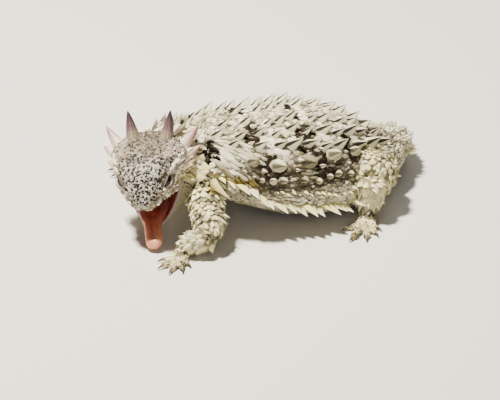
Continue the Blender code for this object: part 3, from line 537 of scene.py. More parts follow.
def new_mesh(name, points, quads=None, triangles=None, smooth=True):
    """A mesh object from whole arrays of points in millimetres and faces of four and three corners."""
    mesh = bpy.data.meshes.new(name)
    parts = [f for f in (quads, triangles) if f is not None and len(f)]
    mesh.vertices.add(len(points))
    mesh.vertices.foreach_set("co", (np.asarray(points, np.float32) * MM).ravel())
    corners = np.concatenate([f.ravel() for f in parts]).astype(np.int32)
    sizes = np.concatenate([np.full(len(f), f.shape[1]) for f in parts]).astype(np.int32)
    mesh.loops.add(len(corners))
    mesh.loops.foreach_set("vertex_index", corners)
    mesh.polygons.add(len(sizes))
    mesh.polygons.foreach_set("loop_start", np.concatenate([[0], np.cumsum(sizes)[:-1]]).astype(np.int32))
    mesh.update(calc_edges=True)
    mesh.polygons.foreach_set("use_smooth", np.full(len(sizes), smooth))
    obj = bpy.data.objects.new(name, mesh)
    bpy.context.scene.collection.objects.link(obj)
    return obj


def read(elements, attribute, width, kind=np.float32):
    """One attribute of all points, corners or faces of a mesh, as a flat array."""
    values = np.zeros(len(elements) * width, kind)
    elements.foreach_get(attribute, values)
    return values


def coordinates(obj):
    """The mesh's points in millimetres."""
    return read(obj.data.vertices, "co", 3).reshape(-1, 3).astype(float) / MM


def normals(obj):
    """The unit normals at the mesh's points."""
    return read(obj.data.vertices, "normal", 3).reshape(-1, 3).astype(float)


def tree_of(points):
    """A search tree that finds the nearest of these points."""
    tree = KDTree(len(points))
    for k, point in enumerate(points):
        tree.insert(point, k)
    tree.balance()
    return tree


def paint_points(obj, tone, wet=None):
    """Stores a colour for each point, and where given how wet the surface is there."""
    data = np.concatenate([np.clip(tone, 0, 1), np.ones((len(tone), 1))], axis=1).astype(np.float32)
    obj.data.attributes.new("hide_tone", "FLOAT_COLOR", "POINT").data.foreach_set("color", data.ravel())
    wet = np.zeros(len(tone)) if wet is None else wet
    obj.data.attributes.new("wet", "FLOAT", "POINT").data.foreach_set("value", wet.astype(np.float32))


def lay_map(obj, places):
    """Writes the unwrap, given for each point, to the corners of the map OFBake."""
    corners = read(obj.data.loops, "vertex_index", 1, np.int32)
    layer = obj.data.uv_layers.new(name="OFBake")
    layer.data.foreach_set("uv", np.asarray(places, np.float32)[corners].ravel())


def with_ends(values):
    """A tube's values with those of its two closing points."""
    return np.concatenate([values, values[:1], values[-1:]])


def finish_piece(obj, finish, slot, *nodes):
    """Gives a piece its material and body, and hides the solids that it replaces; the slot is not used."""
    obj.data.materials.clear()
    obj.data.materials.append(finish)
    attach(obj, BODY)
    if nodes:
        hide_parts(*nodes)
    return obj


# Tiles of the unwrap as (left, bottom, width, height)
MAP_TILES = {"trunk": (0.0, 0.0, 0.62, 0.60), "head": (0.63, 0.0, 0.36, 0.30),
             "neck": (0.63, 0.31, 0.36, 0.14), "jaw": (0.63, 0.46, 0.36, 0.13),
             "tail": (0.0, 0.61, 0.62, 0.13)}
# What the builders share: forms, skin, search trees and the places of the domed scales
STATE = {}


def map_tile(name):
    """A form's tile on the unwrap; limbs, paws and digits have small tiles in rows of eight."""
    if name in MAP_TILES:
        return MAP_TILES[name]
    names = [n for n, _, _ in STATE["forms"] if n not in MAP_TILES]
    k = names.index(name)
    return (k % 8) * 0.125, 0.75 + (k // 8) * 0.062, 0.12, 0.058


def map_places(name, along, degrees):
    """Places on the unwrap of places on a form."""
    left, bottom, wide, high = map_tile(name)
    return np.stack([left + wide * along, bottom + high * ((degrees + 90) % 360) / 360], -1)


def build_atlas():
    """A cloud of places on all forms, which tells a point its kind, the way scales lie and its unwrap."""
    cloud, lie, kinds, spots = [], [], [], []
    for name, kind, form in STATE["forms"]:
        rows = max(8, int(form.length / ATLAS_STEP))
        a, d = grid_of(np.linspace(0.02, 0.98, rows), np.arange(0, 360, 12.0))
        here, _, back = form.lie(a, d)
        cloud.append(here)
        lie.append(-back if kind in (LIMB, PAW) else back)
        kinds.append(np.full(len(here), kind))
        spots.append(map_places(name, a, d))
    cloud = np.concatenate(cloud)
    STATE["atlas"] = tree_of(cloud), np.concatenate(kinds), np.concatenate(lie), np.concatenate(spots)


def look_up(points):
    """(kind, direction that scales point, place on the unwrap) of points near the body."""
    tree, *tables = STATE["atlas"]
    found = np.array([tree.find(p)[1] for p in points])
    return [table[found] for table in tables]


def skin_tree():
    """The finished skin as a search tree in millimetres, with its faces and its points' normals."""
    obj = STATE["skin"]
    if "tree" not in STATE:
        corners = read(obj.data.loops, "vertex_index", 1, np.int32)
        starts = read(obj.data.polygons, "loop_start", 1, np.int32)
        faces = [corners[s:e].tolist() for s, e in zip(starts, np.append(starts[1:], len(corners)))]
        STATE["tree"] = BVHTree.FromPolygons(coordinates(obj).tolist(), faces), faces, normals(obj)
    return STATE["tree"]


def settle(points, reach=0.9):
    """Moves points to the nearest skin: (point, normal, kept); kept is false for points that lie inside."""
    tree, faces, smooth_normals = skin_tree()
    found = [tree.find_nearest(p, 4.0) for p in points]
    kept = np.array([f[0] is not None and f[3] < reach for f in found])
    where = np.array([tuple(f[0]) if f[0] is not None else (0, 0, 0) for f in found])
    normal = np.array([smooth_normals[faces[f[2]]].mean(0) if f[0] is not None else (0, 0, 1) for f in found])
    return where, unit(normal), kept


def scattered(spacing, wanted, seed, many=3.0):
    """Points spread at random over the skin, none nearer than the spacing to another.

    Triangles are drawn by area and points by their corners' random shares; then a point goes if an earlier
    one is nearer than the spacing, which may vary over the skin. wanted gives (keep, spacing share).
    """
    rng = np.random.default_rng(seed)
    obj = STATE["skin"]
    points = coordinates(obj)
    obj.data.calc_loop_triangles()
    triangles = points[read(obj.data.loop_triangles, "vertices", 3, np.int32).reshape(-1, 3)]
    first, second, third = triangles.swapaxes(0, 1)
    areas = np.linalg.norm(np.cross(second - first, third - first), axis=1)
    count = int(many * areas.sum() / 2 / spacing**2)
    pick = rng.choice(len(areas), count, p=areas / areas.sum())
    u, v = rng.random(count), rng.random(count)
    flip = u + v > 1
    u, v = np.where(flip, 1 - u, u)[:, None], np.where(flip, 1 - v, v)[:, None]
    chosen = triangles[pick]
    spots = chosen[:, 0] * (1 - u - v) + chosen[:, 1] * u + chosen[:, 2] * v
    keep, share = wanted(spots)
    spots, share = spots[keep], share[keep]
    tree = tree_of(spots)
    alive = np.ones(len(spots), bool)
    for k in range(len(spots)):
        if alive[k]:
            for _, other, _ in tree.find_range(spots[k], spacing * share[k]):
                if other > k:
                    alive[other] = False
    return spots[alive]


def lay_back(roots, way):
    """Turns scales so that they point along a way, as far as the surface lets them."""
    roots["back"] = unit(way - roots["out"] * dot(way, roots["out"]))
    roots["side"] = np.cross(roots["out"], roots["back"])
    return roots


def roots_at(points, reach=0.9):
    """Everything a scale needs at its root: point, normal, the way it lies, its side, unwrap and colour."""
    where, out, kept = settle(points, reach)
    where, out = where[kept], out[kept]
    kinds, lie, places = look_up(where)
    roots = {"at": where, "out": out, "map": places, "kind": kinds, "kept": kept,
             "tone": markings(where, out, kinds)}
    return lay_back(roots, lie)


def with_numbers(roots, seed, streak=1.0):
    """Adds to each root random numbers for its shade and its size, and how black its streak is."""
    rng = np.random.default_rng(seed)
    count = len(roots["at"])
    roots["vary"] = rng.random(count)
    roots["streak"] = np.full(count, streak)
    roots["size"] = rng.uniform(0.82, 1.18, count)
    return roots


def planted(name, table, seed, streak=1.0):
    """Roots for a table whose rows start with (along, degrees) on a form, and the rows that met the skin."""
    roots = with_numbers(roots_at(form_of(name).points(table[:, 0], table[:, 1])), seed, streak)
    return roots, table[roots["kept"]]


def both_sides(rows):
    """Rows that start with (along, degrees), for the left and then the right, with the side at their end."""
    return np.array([(a, d if side > 0 else 180 - d, *rest, side)
                     for side in (1, -1) for a, d, *rest in rows], float)


# Outlines of scales seen from above, from the front corner round the left half: (side, back)
KEELED = np.array(((0.0, -1.0), (0.26, -0.85), (0.43, -0.67), (0.50, -0.59), (0.97, 0.12), (0.80, 0.46),
                   (0.40, 0.62)))
SHIELD = np.array(((0.0, -1.0), (0.28, -0.94), (0.74, -0.64), (1.0, -0.02), (0.82, 0.55), (0.42, 0.84)))
ROUND = np.array(((0.0, -1.0), (0.71, -0.71), (1.0, 0.0), (0.71, 0.71)))
LEAF = np.array(((0.0, -0.9), (0.62, -0.55), (0.86, 0.05), (0.5, 0.62)))


def outline_of(half, rear):
    """The whole outline from its left half, mirrored, with the rear point between."""
    other = half[1:][::-1] * (-1, 1)
    return np.concatenate([half, [(0.0, rear)], other])


def thorn_tone(share, outline, roots):
    """Cream thorns: hide-coloured at the root, painted shade on the rear face, a black streak along the large
    ones' keel.
    """
    pale = mix(mix(HUES.ash, HUES.cream, 0.55), HUES.cream, roots["vary"])[:, None, None, :]
    tone = mix(roots["tone"][:, None, None, :], pale, ramp(0.0, 0.25, share))
    # Painted shade: the face towards the tail is greyed with ash and sand
    rear = ramp(0.35, 0.75, outline[:, 1]) * ramp(0.0, 0.4, share)
    tone = mix(tone, mix(HUES.ash, HUES.sand, 0.4), rear * 0.45)
    front = outline[:, 1] < 0
    keel = front * (np.abs(outline[:, 0]) < 0.30) * ramp(0.08, 0.16, share)
    side = front * (np.abs(outline[:, 0]) < 0.46) * ramp(0.20, 0.24, share)
    return mix(tone, HUES.pitch, np.maximum(keel, side) * roots["streak"][:, None, None] * 0.97)


def dome_tone(share, outline, roots):
    """Domed flank scales: pale on top with a tan keel and a darker skirt, and painted shade on the lower
    half.
    """
    pale = mix(HUES.cream, HUES.butter, 0.15) * 0.96
    top = mix(mix(HUES.sand, HUES.dust, 0.35), pale, ramp(0.0, 0.7, roots["vary"]))[:, None, None, :]
    tone = mix(HUES.bark + roots["tone"][:, None, None, :] * 0.2, top, ramp(0.0, 0.20, share))
    # Painted shade: the lower half of each dome is darkened with the dust colour
    below = ramp(0.0, 0.7, -outline[:, 0]) * ramp(0.1, 0.4, share) * np.sign(roots["at"][:, 0])[:, None, None]
    tone = mix(tone, HUES.dust, np.clip(below, 0, 1) * 0.45)
    keel = (np.abs(outline[:, 0]) < 0.30) * (outline[:, 1] < 0) * ramp(0.20, 0.26, share)
    return mix(tone, HUES.pitch, keel * 0.85)


def fringe_tone(share, outline, roots):
    """Pale yellow spikes with a tan root and an ivory point."""
    tone = mix(HUES.cream, HUES.butter, 0.35 + 0.5 * roots["vary"])[:, None, None, :]
    tone = mix(tone, mix(HUES.dust, HUES.butter, 0.4), (1.0 - ramp(0.0, 0.3, share)) * 0.55)
    return mix(tone, HUES.ivory, ramp(0.55, 1.0, share) * 0.7)


def flap_tone(share, outline, roots, base=fringe_tone):
    """Pale yellow scales with an ivory point; the brown ones keep the pale point."""
    brown = roots["brown"][:, None, None] * ramp(0.95, 0.55, share)
    return mix(base(share, outline, roots), mix(HUES.bark, HUES.dust, 0.45), brown)


def nape_tone(share, outline, roots):
    """Cream thorns, brown over the nape, with the same pale points."""
    return flap_tone(share, outline, roots, thorn_tone)


def scale_tone(share, outline, roots):
    """Small scales take the hide's own colour, paler towards the raised point and darker at the skirt:
    painted shade.
    """
    vary = roots["vary"]
    root = roots["tone"] * (0.72 + 0.42 * vary[:, None])
    light = root.mean(axis=1)
    root = mix(root, HUES.dust, (vary < 0.12) * (light > 0.08) * 0.6)
    root = mix(root, HUES.sand, (vary > 0.84) * (light < 0.06) * (light > 0.004) * 0.40)
    # Painted shade: the skirt round each scale's base is darkened and browned
    skirt = mix(root * 0.32, HUES.bark, 0.45)
    return mix(skirt[:, None, None, :], root[:, None, None, :] * 1.05, ramp(0.0, 0.38, share))


def face_tone(share, outline, roots):
    """Pale facial scales with brown spots: a tan skirt and an ivory top."""
    top = mix(roots["tone"], HUES.ivory, 0.45 + roots["vary"] * 0.5) * 1.04
    top = mix(top, linear("4E3B28"), ramp(0.46, 0.58, grain(roots["at"], 1.1, 89)) * 0.72)
    top = mix(top, HUES.bark, (roots["vary"] < 0.12) * 0.85)[:, None, None, :]
    return mix(linear("9A8C76"), top, ramp(0.0, 0.26, share))


def cheek_tone(share, outline, roots):
    """Cheek spikes: nearly white, with a faint warm root."""
    return mix(fringe_tone(share, outline, roots), HUES.ivory, 0.6)


# What a scale has unless its own row says otherwise; the rings' heights are t, and their widths 1 - t
PLAIN_SCALE = {"half": KEELED, "rear": 0.78, "rings": (0, .18, .36, .55, .75, .9), "shrink": None,
               "rise": None, "sink": 0.35, "curve": 1.0, "smooth": False}
THORN = {"tone": thorn_tone, "rear": 0.66}
BLADE = {"tone": fringe_tone, "half": LEAF, "rear": 0.75, "rings": (0, .2, .4, .6, .78, .92),
         "shrink": (1, .90, .74, .53, .31, .12)}
FLANK_BLADE = {**BLADE, "sink": 0.8, "curve": 1.5}
BEAD = {"tone": face_tone, "half": ROUND, "rings": (0, .3, .6, .85), "rise": (0, .55, .86, .98)}
# Each kind of scale: sizes in millimetres or as shares of a size, the profile of its rings, and its colours
COAT = {
    "back_thorns": {**THORN, "width": 3.7, "length": 4.8, "height": 2.7, "reach": 3.1, "sink": 0.5,
                    "rings": (0, .12, .22, .33, .50, .70, .88), "rise": (0, .14, .26, .39, .57, .76, .92),
                    "shrink": (1, .87, .76, .66, .49, .28, .10)},
    "back_thornlets": {**THORN, "width": 3.0, "length": 4.0, "height": 1.9, "reach": 2.2, "sink": 0.4,
                       "rings": (0, .12, .33, .55, .80)},
    "flank_domes": {"width": 1.0, "length": 1.2, "height": 0.46, "reach": 0.42, "sink": 0.4,
                    "tone": dome_tone, "half": SHIELD, "rear": 1.05, "rings": (0, .12, .26, .42, .60, .80),
                    "shrink": (1, .95, .85, .68, .46, .21), "rise": (0, .24, .46, .66, .84, .96)},
    "fringe_long": FLANK_BLADE, "fringe_short": FLANK_BLADE,
    "neck_fans": FLANK_BLADE, "tail_fringe": FLANK_BLADE,
    "nape_thorns": {"width": 2.4, "length": 3.4, "height": 2.5, "reach": 1.7, "sink": 0.5,
                    "tone": nape_tone},
    "neck_flaps": {"height": 1.3, "tone": flap_tone, "rear": 0.7, "rings": (0, .15, .35, .6, .85), "sink": .4,
                   "shrink": (1, .90, .68, .38, .12), "rise": (0, .42, .72, .90, .98)},
    "tail_thorns": {"width": 1.9, "length": 2.6, "height": 1.7, "reach": 1.6, "tone": thorn_tone},
    "limb_scales": {"width": 2.3, "length": 2.6, "height": 0.72, "reach": 1.45, "sink": 0.22,
                    "tone": scale_tone, "rear": 0.66, "rings": (0, .3, .6, .85),
                    "shrink": (1, .80, .46, .17), "rise": (0, .50, .80, .95)},
    "limb_thorns": {"width": 2.3, "length": 3.0, "height": 1.6, "reach": 2.0, "sink": 0.4,
                    "tone": thorn_tone},
    "paw_scales": {"width": 0.95, "length": 1.05, "height": 0.30, "reach": 0.35, "sink": 0.12,
                   "tone": scale_tone, "half": LEAF, "rear": 0.7, "rings": (0, .35, .75),
                   "shrink": (1, .84, .40), "rise": (0, .6, .93)},
    "granules": {"tone": scale_tone, "half": ROUND, "rear": 1.0, "rings": (0, .35, .7), "sink": 0.14,
                 "shrink": (1, .88, .50), "rise": (0, .72, .97)},
    "lip_scales": {**BEAD, "rear": 1.0, "shrink": (1, .93, .70, .36), "sink": 0.25, "smooth": True},
    "cheek_spikes": {**BLADE, "tone": cheek_tone, "sink": 0.7},
    "cheek_scales": {**BEAD, "width": 1.05, "length": 1.15, "height": 0.50, "reach": 0.30, "rear": 0.95,
                     "shrink": (1, .90, .64, .30), "sink": 0.2},
    "chin_shields": {**BLADE, "shrink": (1, .92, .77, .56, .33, .13), "sink": 0.6},
}


def sprout(name, roots, grow=1.0, aim=None, **changes):
    """Copies of one kind of scale from the table COAT, one at each root, as a single finished piece.

    A point of a copy is root + side * outline_x * width/2 * shrink(t)
    + back * (outline_y * length/2 * shrink(t) + reach * t^curve) + out * (height * rise(t) - sink * (1-t)),
    with t from 0 at the root to 1 at the tip.
    width, length, height and reach are the table's, in millimetres, times grow; changes replace the table's
    values, and aim the outward normal.
    """
    # granules_0 and granules_1 are the two halves of one kind
    kind = SimpleNamespace(**{**PLAIN_SCALE, **COAT[name.rstrip("_01")], **changes})
    count = len(roots["at"])
    outline = outline_of(kind.half, kind.rear)
    t = np.array(kind.rings, float)
    shrink = 1.0 - t if kind.shrink is None else np.array(kind.shrink, float)
    rise = t if kind.rise is None else np.array(kind.rise, float)
    t_all, shrink, rise = np.append(t, 1.0), np.append(shrink, 0.0), np.append(rise, 1.0)
    width, length, height, reach = (np.broadcast_to(np.asarray(v * grow, float), count)
                                    for v in (kind.width, kind.length, kind.height, kind.reach))
    across = outline[None, None, :, 0] * shrink[None, :, None] * width[:, None, None] / 2
    ahead = outline[None, None, :, 1] * shrink[None, :, None] * length[:, None, None] / 2
    ahead = ahead + (reach[:, None] * t_all**kind.curve)[:, :, None]
    up = (height[:, None] * rise - kind.sink * (1.0 - t_all))[:, :, None] + across * 0
    points = (
        roots["at"][:, None, None, :]
        + across[..., None] * roots["side"][:, None, None, :]
        + ahead[..., None] * roots["back"][:, None, None, :]
        + up[..., None] * (roots["out"] if aim is None else aim)[:, None, None, :]
    )
    points[..., 2] = np.maximum(points[..., 2], FLOOR_GAP)
    rows, columns = len(t), len(outline)

    def in_order(values):
        """The values of each copy's rings and tip, one copy after another."""
        values = np.broadcast_to(values, (count, rows + 1, columns, values.shape[-1]))
        rings = values[:, :rows].reshape(count, rows * columns, -1)
        return np.concatenate([rings, values[:, rows, :1]], axis=1).reshape(-1, values.shape[-1])

    each = rows * columns + 1
    c = np.arange(columns)
    last = (rows - 1) * columns
    cap = np.stack([last + (c + 1) % columns, last + c, np.full(columns, each - 1)], -1)
    shift = (np.arange(count) * each)[:, None, None]
    quads = sheet_faces(rows, columns, True)[:, ::-1]
    faces = (quads[None] + shift).reshape(-1, 4), (cap[None] + shift).reshape(-1, 3)
    obj = new_mesh(name, in_order(points), *faces, kind.smooth)
    share = np.broadcast_to(t_all[None, :, None], (count, rows + 1, columns))
    paint_points(obj, in_order(kind.tone(share, outline, roots)))
    patch = MAP_PATCH * (0.12 + 0.88 * (1.0 - t_all))[:, None, None] * unit(outline)[None]
    lay_map(obj, in_order(roots["map"][:, None, None, :] + patch[None]))
    return finish_piece(obj, material("keratin_scale"), "hide")


# Blotches of the back: (distance from the midline, place along the body, half width, half length, turn)
BLOTCHES = ((10.0, -11.2, 5.6, 2.9, -22), (13.2, 4.0, 5.2, 3.3, -12), (3.0, 4.4, 2.6, 1.6, 0),
            (12.6, 17.6, 4.4, 2.2, -10), (18.4, -8.8, 2.8, 3.4, 30), (19.6, 7.4, 2.6, 3.2, 20),
            (6.5, 27.5, 3.4, 1.6, 0), (4.0, -10.5, 1.8, 1.2, 0))
# Domed scales of the flank: (along, angle, size, how pale)
DOMES = ((0.875, 37, 1.7, 0.6), (0.815, 35, 3.1, 0.1), (0.705, 33, 3.9, 1.0), (0.560, 37, 4.3, 0.0),
         (0.420, 43, 4.0, 0.6), (0.300, 44, 3.2, 0.4), (0.775, 18, 1.7, 0.45), (0.725, 19, 2.1, 0.5),
         (0.675, 20, 2.3, 0.4), (0.580, 22, 2.4, 0.2), (0.510, 21, 2.1, 0.7), (0.455, 25, 2.0, 0.45),
         (0.405, 27, 2.1, 0.5), (0.340, 25, 1.8, 0.7), (0.630, 12, 1.3, 0.7), (0.545, 12, 1.3, 0.4),
         (0.845, 24, 1.4, 0.4))
# Black patches in the fold behind the horns: centre on the left side, and half sizes
NAPE_PATCHES = ((10.2, -24.5, 24.8, 3.9, 2.3, 4.3), (5.2, -26.2, 27.4, 2.6, 2.0, 2.0))
# Ochre folds over the shoulder: centre on the left side, and radius
OCHRE_PATCHES = ((19.0, -20.4, 18.0, 3.3), (16.0, -24.6, 18.6, 2.8), (20.4, -16.4, 17.0, 2.4),
                 (16.6, -26.0, 15.4, 2.2))
# Large pointed scales low on the sides of the neck: root, tip, width and share of brown
NECK_FLAPS = (
    ((9.8, -31.0, 15.8), (14.2, -27.4, 14.4), 5.8, 0.0),
    ((11.2, -29.6, 17.4), (16.8, -23.6, 19.2), 3.4, 0.0),
    ((15.4, -25.4, 18.0), (20.9, -19.0, 14.4), 3.6, 0.0),
    ((12.0, -27.8, 20.2), (15.6, -24.2, 22.0), 4.6, 0.0),
    ((11.8, -27.4, 18.8), (15.2, -24.2, 19.8), 3.8, 0.1),
    ((10.2, -29.8, 18.8), (13.4, -27.0, 18.2), 3.4, 0.3),
    ((6.4, -27.0, 24.6), (9.4, -24.2, 25.4), 3.4, 0.8),
    ((9.2, -27.2, 22.6), (12.4, -24.8, 22.8), 3.0, 0.5),
)


def blotch_share(points):
    """How much of the dark blotches a point has, and how much of the white rims behind them."""
    wobble = (grain(points, 1.4, 21) - 0.5) * 0.75 + (grain(points, 0.6, 22) - 0.5) * 0.35
    dark = np.zeros(len(points))
    rim = np.zeros(len(points))
    for x, y, wide, long, turn in BLOTCHES:
        away = np.abs(points[:, 0]) - x
        along = points[:, 1] - y
        c, s = math.cos(math.radians(turn)), math.sin(math.radians(turn))
        p, q = away * c + along * s, along * c - away * s
        inside = np.sqrt((p / wide) ** 2 + (q / long) ** 2) * 0.86 + wobble
        behind = np.sqrt((p / (wide * 1.1)) ** 2 + ((q - long * 1.15) / long) ** 2) + wobble * 0.6
        dark = np.maximum(dark, 1.0 - ramp(0.80, 1.05, inside))
        rim = np.maximum(rim, 1.0 - ramp(0.65, 1.05, behind))
    return dark, rim * (1.0 - dark)


def dome_ring(points):
    """1 close round the domed flank scales, 0 away from them."""
    ring = np.zeros(len(points))
    for centre, size in STATE["dome_places"]:
        away = np.linalg.norm(points - centre, axis=1)
        ring = np.maximum(ring, 1.0 - ramp(size * 0.80, size * 1.45, away))
    return ring


def markings(points, out, kinds):
    """The hide's colours, for skin and scales alike, from place, facing and part of the body, with painted
    shade greying the underside.
    """
    x, y, z = points.T
    fine = grain(points, 0.9, 1)
    broad = grain(points, 3.2, 2)
    streaks = grain(points * (1.0, 0.45, 1.6), 1.0, 3)
    tone = mix(HUES.cream, HUES.sand, ramp(0.42, 0.9, broad) * 0.55)
    tone = mix(tone, HUES.ivory, ramp(0.5, 0.85, fine) * 0.6)
    trunk = kinds == TRUNK
    facing_up = ramp(-0.1, 0.5, out[:, 2])
    dark, rim = blotch_share(points)
    on_back = trunk * ramp(12.0, 16.0, z)
    tone = mix(tone, HUES.dust, trunk * ramp(19.0, 22.0, z) * ramp(0.50, 0.72, grain(points, 1.7, 7)) * 0.62)
    flank = trunk * ramp(23.5, 19.5, z) * ramp(11.5, 14.5, z)
    tone = mix(tone, mix(HUES.cream, HUES.ivory, 0.5), rim * on_back * 0.8)
    tone = mix(tone, HUES.bark, flank * ramp(0.33, 0.55, streaks) * 0.86)
    tone = mix(tone, mix(HUES.bark, HUES.pitch, 0.35), flank * dome_ring(points) * 0.8)
    tone = mix(tone, mix(HUES.bark, HUES.pitch, 0.45 + 0.55 * fine), dark * on_back)
    for side in (1, -1):
        for cx, cy, cz, wide, long, tall in NAPE_PATCHES:
            fold = np.sqrt(((x - cx * side) / wide) ** 2 + ((y - cy) / long) ** 2 + ((z - cz) / tall) ** 2)
            black = 1.0 - ramp(0.90, 1.12, fold + (fine - 0.5) * 0.6)
            tone = mix(tone, HUES.pitch, black * (kinds != HEAD))
        for cx, cy, cz, r in OCHRE_PATCHES:
            near = np.sqrt((x - cx * side) ** 2 + (y - cy) ** 2 + (z - cz) ** 2) / r
            tone = mix(tone, HUES.ochre, (1.0 - ramp(0.5, 1.25, near)) * ramp(0.25, 0.60, streaks) * 0.8)
    ahead, across, above = of_head(points).T
    mouth = ramp(-1.0, 1.0, ahead) * ramp(8.8, 8.2, np.abs(across)) * ramp(-2.6, -3.4, above)
    tone = mix(tone, HUES.maroon, mouth * np.isin(kinds, (NECK, HEAD, JAW)))
    # Painted shade on the underside: greyer where the surface faces down
    belly = ramp(0.1, -0.5, out[:, 2]) * np.isin(kinds, (TRUNK, TAIL, NECK))
    tone = mix(tone, mix(HUES.ash, HUES.cream, 0.35), belly * 0.9)
    limbs = np.isin(kinds, (LIMB, PAW))
    tone = mix(tone, HUES.butter, limbs * 0.36)
    tone = mix(tone, mix(HUES.dust, HUES.bark, 0.25), limbs * ramp(0.53, 0.72, broad) * 0.75 * facing_up)
    tone = mix(tone, HUES.bark, (kinds == PAW) * ramp(0.55, 0.70, grain(points, 1.6, 5)) * 0.80)
    bands = 0.5 + 0.5 * np.sin(x * 0.82 + grain(points, 2.0, 6) * 2.0)
    tone = mix(tone, HUES.dust, (kinds == TAIL) * ramp(0.62, 0.9, bands) * 0.6 * facing_up)
    return tone


def new_finish(name):
    """An empty finish: the material, its nodes and its shader."""
    made = bpy.data.materials.new(name)
    made.use_nodes = True
    return made, made.node_tree, made.node_tree.nodes["Principled BSDF"]


def node(tree, kind, settings=None, links=None):
    """Adds a node, or takes one that is there, with its settings and the outputs its inputs are linked to."""
    made = tree.nodes.new(kind) if isinstance(kind, str) else kind
    for key, value in (settings or {}).items():
        if isinstance(key, int) or key in made.inputs:
            made.inputs[key].default_value = value
        else:
            setattr(made, key, value)
    for key, (source, output) in (links or {}).items():
        tree.links.new(source.outputs[output], made.inputs[key])
    return made


def per_metre(millimetres):
    """A texture's scale for cells of that size."""
    return 1.0 / (millimetres * MM)


# The hide's seams as a share of a scale, the grain of the dust on it, and its roughness where it is wet
SEAM_WIDTH = 0.22
DUST_MM = 0.35
WET_ROUGHNESS = 0.22


def hide_material(name, scale_mm=0.55, bump=0.5, roughness=0.62, contrast=0.5, gloss=0.3):
    """Dry keratin scales: matt, with a fine cobble of small scales whose seams are darker and lower."""
    made, tree, shader = new_finish(name)
    place = node(tree, "ShaderNodeTexCoord")
    tone = node(tree, "ShaderNodeAttribute", {"attribute_name": "hide_tone"})
    wet = node(tree, "ShaderNodeAttribute", {"attribute_name": "wet"})
    cells = node(tree, "ShaderNodeTexVoronoi", {"feature": "DISTANCE_TO_EDGE", "Scale": per_metre(scale_mm)},
                 {"Vector": (place, "Object")})
    seams = node(tree, "ShaderNodeMapRange", {"From Max": SEAM_WIDTH, "To Min": 1.0 - contrast},
                 {"Value": (cells, "Distance")})
    dust = node(tree, "ShaderNodeTexNoise", {"Scale": per_metre(DUST_MM), "Detail": 4.0, "Roughness": 0.6},
                {"Vector": (place, "Object")})
    speck = node(tree, "ShaderNodeMapRange",
                 {"From Min": 0.3, "From Max": 0.75, "To Min": 0.80, "To Max": 1.12},
                 {"Value": (dust, "Fac")})
    shade = node(tree, "ShaderNodeMath", {"operation": "MULTIPLY"},
                 {0: (seams, "Result"), 1: (speck, "Result")})
    open_skin = node(tree, "ShaderNodeMix", {"data_type": "FLOAT", 3: 1.0},
                     {0: (wet, "Fac"), 2: (shade, "Value")})
    colour = node(tree, "ShaderNodeVectorMath", {"operation": "SCALE"},
                  {0: (tone, "Color"), "Scale": (open_skin, 0)})
    rough = node(tree, "ShaderNodeMapRange", {"To Min": roughness, "To Max": WET_ROUGHNESS},
                 {"Value": (wet, "Fac")})
    height = node(tree, "ShaderNodeMapRange", {"From Max": 0.35}, {"Value": (cells, "Distance")})
    lumps = node(tree, "ShaderNodeMath", {"operation": "MULTIPLY_ADD", 1: 0.35},
                 {0: (dust, "Fac"), 2: (height, "Result")})
    relief = node(tree, "ShaderNodeBump", {"Strength": bump, "Distance": 0.12 * MM},
                  {"Height": (lumps, "Value")})
    node(tree, shader, {"Specular IOR Level": gloss},
         {"Base Color": (colour, "Vector"), "Roughness": (rough, "Result"), "Normal": (relief, "Normal")})
    return made


def horn_material(name, roughness=0.42):
    """Keratin horn: satin and a little worn, over lengthwise ribs that are in the mesh and its colours."""
    made, tree, shader = new_finish(name)
    place = node(tree, "ShaderNodeTexCoord")
    tone = node(tree, "ShaderNodeAttribute", {"attribute_name": "hide_tone"})
    wear = node(tree, "ShaderNodeTexNoise", {"Scale": per_metre(0.5), "Detail": 3.0},
                {"Vector": (place, "Object")})
    gloss = node(tree, "ShaderNodeMapRange", {"To Min": roughness - 0.1, "To Max": roughness + 0.15},
                 {"Value": (wear, "Fac")})
    relief = node(tree, "ShaderNodeBump", {"Strength": 0.25, "Distance": 0.05 * MM},
                  {"Height": (wear, "Fac")})
    node(tree, shader, None,
         {"Base Color": (tone, "Color"), "Roughness": (gloss, "Result"), "Normal": (relief, "Normal")})
    return made


def tongue_material(name):
    """Wet flesh: soft, a little light passes through, with a film of water over fine papillae."""
    made, tree, shader = new_finish(name)
    place = node(tree, "ShaderNodeTexCoord")
    tone = node(tree, "ShaderNodeAttribute", {"attribute_name": "hide_tone"})
    buds = node(tree, "ShaderNodeTexVoronoi", {"Scale": per_metre(0.45)}, {"Vector": (place, "Object")})
    relief = node(tree, "ShaderNodeBump", {"Strength": 0.35, "Distance": 0.08 * MM},
                  {"Height": (buds, "Distance")})
    node(tree, shader,
         {"Roughness": 0.40, "Subsurface Weight": 0.25, "Subsurface Radius": (0.8 * MM, 0.3 * MM, 0.2 * MM),
          "Subsurface Scale": 1.0, "Coat Weight": 0.25, "Coat Roughness": 0.18},
         {"Base Color": (tone, "Color"), "Normal": (relief, "Normal")})
    return made


def eye_material(name):
    """Wet cornea over a very dark iris: deep brown-black and mirror smooth."""
    made, tree, shader = new_finish(name)
    tone = node(tree, "ShaderNodeAttribute", {"attribute_name": "hide_tone"})
    node(tree, shader,
         {"Roughness": 0.08, "Specular IOR Level": 0.20, "Coat Weight": 0.12, "Coat Roughness": 0.03},
         {"Base Color": (tone, "Color")})
    return made


def material(name):
    """One of the scene's finishes, made the first time it is asked for."""
    makers = {
        "dry_body_hide": lambda n: hide_material(n, 0.55, 0.55, 0.66, 0.42),
        "dry_head_hide": lambda n: hide_material(n, 0.42, 0.35, 0.58, 0.22),
        "keratin_scale": lambda n: hide_material(n, 0.38, 0.30, 0.62, 0.16, 0.07),
        "keratin_horn": horn_material,
        "wet_tongue": tongue_material,
        "wet_eye": eye_material,
    }
    return bpy.data.materials.get(name) or makers[name](name)


